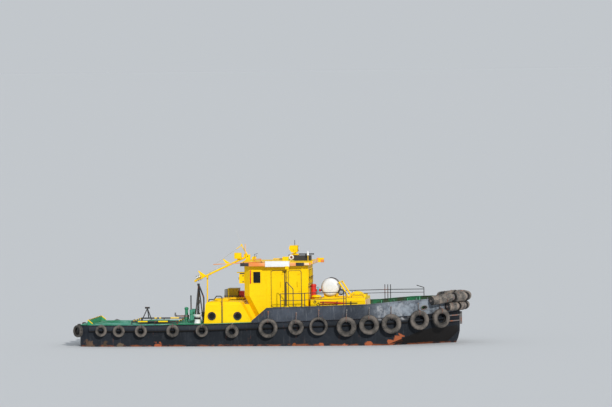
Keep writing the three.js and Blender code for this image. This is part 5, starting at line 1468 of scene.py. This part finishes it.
def make_hydrant():
    lo, hi = corners("hydrant")
    foot, top = lo.z, hi.z
    x, y = HYDRANT_AT
    shape = Shape("red cyan black")
    body = [
        (0.165, foot), (0.165, foot + 0.02), (0.13, foot + 0.03), (0.13, top - 0.10), (0.155, top - 0.10),
        (0.155, top - 0.06), (0.13, top - 0.06), (0.12, top - 0.02), (0.09, top),
    ]
    shape.lathe(body, (x, y, 0), UP, 32)
    outlet = [
        (0.05, 0.12), (0.05, 0.17), (0.085, 0.17), (0.085, 0.19), (0.05, 0.19), (0.05, 0.30), (0.075, 0.30),
        (0.075, 0.36),
    ]
    shape.lathe(outlet, (x, y, 2.68), AHEAD, 24)
    shape.use("cyan")
    shape.lathe([(0.05, -0.09), (0.07, -0.03), (0.07, 0.03), (0.045, 0.08)], (x + 0.22, y, 2.69), UP, 20)
    handwheel(shape, (x + 0.22, y, 2.83), UP, 0.075)
    shape.use("black")
    bolts(shape, (x, y, foot + 0.02), 0.148, 8, 0.013, 0.012)
    handwheel(shape, (x + 0.39, y, 2.68), AHEAD, 0.055, 0.008)
    shape.piece("hydrant_body", replaces=["hydrant"])

    shape = Shape("yellow black")
    x, y = VENT_AT
    z = corners("trunk_vent")[0].z
    head = [
        (0.16, 0), (0.16, 0.015), (0.13, 0.02), (0.13, 0.09), (0.235, 0.085), (0.25, 0.10), (0.243, 0.135),
        (0.19, 0.175), (0.10, 0.20),
    ]
    shape.lathe(head, (x, y, z), UP, 40)
    shape.use("black")
    bolts(shape, (x, y, z + 0.015), 0.145, 6, 0.011, 0.010)
    shape.piece("vent_head", replaces=["trunk_vent"])


TRUNK_HALF = 1.15
# The fore hatch's dome. Columns: inset at the sides and aft, inset at the hinges, height, corner.
DOME = [
    (0.0, 0.002, 0.0, 0.06),
    (0.0, 0.032, 0.035, 0.06),
    (0.012, 0.044, 0.045, 0.06),
    (0.05, 0.076, 0.075, 0.06),
    (0.13, 0.15, 0.115, 0.012),
    (0.23, 0.25, 0.142, 0.012),
]


def make_trunk():
    shape = Shape("yellow red black white orange cream")
    y = -TRUNK_HALF - 0.045
    # Poles in brackets along the starboard side, with rings behind them.
    shape.use("red")
    for heights in ((2.120, 2.108, 2.075), (2.020, 2.032, 2.060)):
        shape.tube([(x, y, z) for x, z in zip((2.40, 3.00, 3.72), heights)], [0.022, 0.022, 0.014], 10)
    shape.use("black")
    shape.tube([(3.66, y, 2.068), (4.28, y, 2.068)], 0.020, 10)
    for x in (2.55, 3.25, 3.95):
        shape.box((x - 0.015, y - 0.03, 1.985), (x + 0.015, -TRUNK_HALF, 2.155), 0.004)
    for x, z, r in ((2.13, 2.13, 0.055), (2.30, 2.00, 0.075)):
        shape.tube(hoop(Vector((x, y + 0.015, z)), AHEAD * r, UP * r, 20), 0.012, 8, True)
        shape.box((x - 0.02, y + 0.005, z + r - 0.01), (x + 0.02, -TRUNK_HALF, z + r + 0.03), 0.003)
    for side in SIDES.values():
        # A welded edge bar and stiles on each side, a handrail along the top.
        bar_y, seam_y, rail_y = side * (TRUNK_HALF + 0.004), side * (TRUNK_HALF + 0.001), side * 0.98
        shape.use("yellow")
        shape.tube([(1.93, bar_y, 2.16), (4.64, bar_y, 2.16)], 0.010, 6)
        for x in (2.9, 4.0):
            shape.tube([(x, seam_y, 1.33), (x, seam_y, 2.16)], 0.006, 6)
        shape.use("black")
        handrail = ((3.95, 2.30), (3.95, 2.42), (4.55, 2.44), (4.55, 2.31))
        shape.tube([(x, rail_y, z) for x, z in handrail], 0.012, 8)
    # Cream and orange stripes on the front face.
    foot, head = Vector((4.712, 0, 1.10)), Vector((4.661, 0, 2.33))
    slope = (head - foot).normalized()
    out = Vector((slope.z, 0, -slope.x))
    for k in range(8):
        shape.use("orange" if k % 2 else "cream")
        outline = rounded(-1.06 + 0.265 * k, 0.34, -0.802 + 0.265 * k, 1.12, 0.01, 3)
        shape.plate(outline, lambda u, v, w: foot + slope * v + ACROSS * u + out * w, 0.008, 0.003)
    shape.piece("trunk_fittings")

    shape = Shape("yellow black")
    lo, hi = corners("fore_hatch_lid")
    rows = []
    for inset, fore, rise, corner in [*DOME, (0.285, 0.305, hi.z - 0.002 - lo.z, 0.012)]:
        outline = rounded(lo.x + inset, lo.y + inset, hi.x - fore, hi.y - inset, corner)
        rows.append([Vector((u, v, lo.z + rise)) for u, v in outline])
    shape.grid(rows)
    shape.use("black")
    grip = [(0.07, -0.10, 0.07), (0.03, -0.10, 0.12), (0.03, 0.10, 0.12), (0.07, 0.10, 0.07)]
    shape.tube([(lo.x + x, y, lo.z + z) for x, y, z in grip], 0.010, 8)
    for y in (-0.22, 0.22):
        shape.block((hi.x - 0.134, y, lo.z + 0.065), (0.056, 0.025, 0.020), 0.004)
    shape.piece("fore_hatch_dome", "fore_hatch", ["fore_hatch_lid"])

    shape = Shape("steel")
    for side in SIDES.values():
        for x in (3.98, 4.32):
            at = Vector((x, side * 0.375, 2.457))
            shape.block(at + UP * 0.014, (0.015, 0.015, 0.016), 0.003)
            shape.tube([at + UP * 0.02, at + Vector((0.09, side * 0.005, 0.035))], 0.007, 6)
    shape.piece("fore_hatch_dogs")


# Rails on the bulwark: the posts' x, the rail's z and the post's top if higher. Then the lower rail's drop.
RAILS = {
    "starboard": ([(0.560, 2.615), (1.640, 2.630), (1.780, 2.640), (3.740, 2.690), (3.860, 2.690)], 0.340),
    "port": (
        [
            (0.560, 2.500), (1.780, 2.510), (3.740, 2.525), (5.270, 2.557, 2.820), (5.420, 2.560, 2.820),
            (5.560, 2.563, 2.820), (7.290, 2.590, 2.668),
        ],
        0.160,
    ),
}
# The tall hoop by the doors, from over its fore foot to over its after foot.
RAIL_HOOP = [
    (1.200, 2.120), (1.200, 2.820), (1.170, 2.890), (0.930, 3.160), (0.895, 3.190), (0.850, 3.190),
    (0.830, 3.160),
]
# Deck gear. The striped frame's bars, and where the colour turns along each, from black, as shares of it.
FRAME_X = (-7.115, -4.795)
FRAME_Y = 1.615
FRAME_Z = 1.215
FRAME_BAR = 0.035
FRAME_SIDES = {-1: (0.136, 0.347, 0.582, 0.791), 1: (0.287, 0.343, 0.392, 0.435, 0.644, 0.830)}
FRAME_ENDS = (0.11, 0.22, 0.33, 0.44, 0.56, 0.67, 0.78, 0.89)


def foot_plate(shape, at, radius, thick=0.014, segments=16):
    """A round plate under a post or a leg."""
    shape.drum(radius, 0, thick, at, UP, segments)


def make_gear():
    for name in SIDES:
        lo, hi = corners(f"bollard_{name}")
        middle = (lo + hi) / 2
        low, high = lo.z, hi.z
        shape = Shape("white black")
        post = [
            (0.200, low), (0.200, low + 0.015), (0.155, low + 0.025), (0.148, low + 0.10),
            (0.143, low + 0.20), (0.150, high - 0.09), (0.190, high - 0.065), (0.205, high - 0.045),
            (0.205, high - 0.015), (0.185, high - 0.002),
        ]
        shape.lathe(post, (middle.x, middle.y, 0), UP, 48)
        # Turns of dark line, each climbing a little.
        shape.use("black")
        for rise in (0.22, 0.255, 0.29):
            level = Vector((middle.x, middle.y, low + rise))
            coil = hoop(level, AHEAD * 0.158, ACROSS * 0.158, 36)
            coil = [p + UP * 0.012 * math.sin(t * 0.5) for p, t in zip(coil, turns(36))]
            shape.tube(coil, 0.016, 8, True)
        shape.piece(f"bollard_post_{name}", replaces=[f"bollard_{name}"])

    # Striped frame on the aft deck, with its tripod.
    shape = Shape("yellow black")
    z = FRAME_Z
    aft, fore = FRAME_X
    bars = [((aft, s * FRAME_Y, z), (fore, s * FRAME_Y, z), bands) for s, bands in FRAME_SIDES.items()]
    bars += [((x, -FRAME_Y, z), (x, FRAME_Y, z), FRAME_ENDS) for x in FRAME_X]
    for a, b, bands in bars:
        a, b = Vector(a), Vector(b)
        past = (b - a).normalized() * 0.001
        marks = [0.0, *bands, 1.0]
        for k, (start, end) in enumerate(zip(marks, marks[1:])):
            shape.paint = (k + 1) % 2
            shape.tube([a.lerp(b, start) - past, a.lerp(b, end) + past], FRAME_BAR, 16)
    shape.use("black")
    for x in (aft, (aft + fore) / 2, fore):
        for y in (-FRAME_Y, FRAME_Y):
            shape.tube([(x, y, deck_z(x) + 0.001), (x, y, z)], 0.026, 12)
            foot_plate(shape, (x, y, deck_z(x)), 0.07, 0.012)
    apex = Vector((-6.740, 1.150, 1.740))
    for foot in [(x, 0.950, deck_z(x) + 0.002) for x in (-7.020, -6.460)] + [(apex.x, FRAME_Y, z)]:
        shape.tube([foot, apex], 0.026, 10)
    shape.tube([apex + Vector((x, 0, 0.03)) for x in (-0.12, 0.12)], 0.045, 16)
    shape.piece("striped_frame", replaces=["aft_frame"])

    # Stripes along the top of the stern bulwark.
    shape = Shape("yellow black")
    half = []
    for x, top, ahead, out in ((-9.06, 1.13, 0.1, 1), (-9.28, 1.31, 0.1, 1), (-9.45, 1.31, 0.7, 0.7)):
        half.append(Vector((x, deck_y(x), top + 0.012)) + Vector((ahead, -out, 0)) * 0.24)
    line = [Vector((p.x, -p.y, p.z)) for p in half] + half[::-1]
    for a, b in zip(line, line[1:]):
        count = max(1, round((b - a).length / 0.26))
        for k in range(count):
            shape.paint = k % 2
            shape.tube([a.lerp(b, k / count), a.lerp(b, (k + 1) / count)], 0.024, 12)
    shape.piece("stern_stripes")

    # A thin stake by the towing bitt.
    shape = Shape("black")
    x, y = -4.40, 0.50
    shape.tube([(x, y, deck_z(x) + 0.02), (x, y, 2.35), (x, y, 2.415)], [0.031, 0.031, 0.036], 12)
    shape.piece("stake")

    # Derrick legs with the chain fall between them, and the bent pipe that steadies the mast's tip.
    shape = Shape("black steel")
    top = Vector((-3.93, 0.0, 3.0))
    for x, y in ((-4.07, -0.45), (-4.07, 0.45), (-3.64, -0.40)):
        shape.tube([(x, y, deck_z(x) + 0.003), top], 0.032, 12)
        foot_plate(shape, (x, y, deck_z(x) + 0.001), 0.08)
    x, y = -3.56, -0.80
    bend = [(x, y, 2.30), (-3.575, -0.765, 2.40), (-3.74, -0.40, 2.69), (-3.90, -0.06, 2.95)]
    shape.tube([(x, y, deck_z(x) + 0.003), *bend], 0.040, 14)
    foot_plate(shape, (x, y, deck_z(x) + 0.001), 0.09)
    shape.block((top.x, 0, 2.985), (0.06, 0.06, 0.055), 0.012)
    shape.use("steel")
    for y, high, low in ((-0.03, 2.95, 2.21), (0.03, 2.95, 2.21), (0, 2.03, 1.55)):
        chain(shape, (top.x, y, high), (top.x, y, low), 0.10, 0.014)
    for z, tall in ((2.12, 0.10), (1.44, 0.12)):
        shape.block((top.x, 0, z), (0.06, 0.045, tall), 0.02)
    shape.piece("derrick", replaces=["gallows"])


def make_rudder():
    """Stiffeners and zinc blocks on the rudder's blade."""
    shape = Shape("hull grey")
    lo, hi = corners("rudder")
    aft, fore = lo.x + 0.05, hi.x - 0.12
    foot, span = lo.z + 0.10, -0.45 - lo.z
    for side in SIDES.values():
        shape.use("hull")
        for share in (0.18, 0.5, 0.82):
            middle = ((aft + fore) / 2, side * 0.034, foot + span * share)
            shape.block(middle, ((fore - aft) / 2, 0.012, 0.025), 0.004)
        shape.use("grey")
        for share in (0.34, 0.66):
            shape.block((-9.26, side * 0.045, foot + span * share), (0.08, 0.014, 0.035), 0.008)
    shape.piece("rudder_fittings", "rudder")


def make_rails():
    """Pipe rails on the bulwark, rims on the fairleads, brackets inside the wall."""
    for name, side in SIDES.items():
        def spot(x, z):
            return edge(x, side, 0.040, z)[0]

        shape = Shape("black")
        posts, drop = RAILS[name]
        for x, z, *tall in posts:
            foot = spot(x, rail_z(x) + 0.022)
            shape.tube([foot, spot(x, tall[0] if tall else z)], 0.020, 10)
            foot_plate(shape, foot, 0.045, 0.010, 12)
        shape.tube([spot(x, z) for x, z, *_ in posts], 0.018, 10)
        shape.tube([spot(x, z - drop) for x, z, *_ in posts], 0.014, 10)
        if name == "port":
            shape.tube([spot(6.910, 2.777), spot(7.290, 2.668)], 0.019, 10)
        foot = rail_z(1.0) + 0.022
        tall_hoop = [(1.270, foot), *RAIL_HOOP, (0.830, foot)]
        shape.tube([(x, side * (deck_y(x) + 0.040), z) for x, z in tall_hoop], 0.020, 12)
        shape.piece(f"rails_{name}", replaces=[f"rail_{name}"])

        # The fairlead's rim, a black lining in its throat as painted shade, and the bead under it.
        shape = Shape("steel black")
        centre, outward = edge(7.70, side, 0.045, 1.86)
        across = cross(outward)
        shape.tube(hoop(centre, across * 0.165, UP * 0.105, 32), 0.024, 10, True)
        shape.tube([edge(6.38, side, 0.012, 1.16)[0], edge(6.78, side, 0.012, 1.18)[0]], 0.030, 10)
        shape.use("black")
        throat = [
            hoop(centre - outward * (0.045 - depth), across * 0.160 * size, UP * 0.100 * size, 32)
            for size, depth in ((1.0, 0.03), (1.0, -0.20), (0.88, -0.20), (0.88, 0.03))
        ]
        shape.grid(list(zip(*throat)), close_v=True)
        shape.piece(f"fairlead_rim_{name}")

        # The brackets in a paler green, painted as lit against the shaded wall.
        shape = Shape("lit_green")
        for x in (2.9, 3.7, 4.5, 5.1, 5.75, 6.45, 7.1):
            top, low = rail_z(x) - 0.03, deck_z(x) + 0.02
            inner, outward = edge(x, side, -0.03, 0.0)
            along = cross(outward)
            web = [(0.0, low), (0.14, low), (0.035, top), (0.0, top)]
            shape.plate(web, lambda u, v, w: inner - outward * u + UP * v + along * (w - 0.008), 0.016)
        shape.piece(f"wall_brackets_{name}")


make_stage()
dress_nodes()
make_fenders()
make_hangers()
make_bow_fenders()
make_doors()
make_house()
make_guards()
make_roof()
make_mast()
make_cabin()
make_raft()
make_hydrant()
make_trunk()
make_gear()
make_rudder()
make_rails()
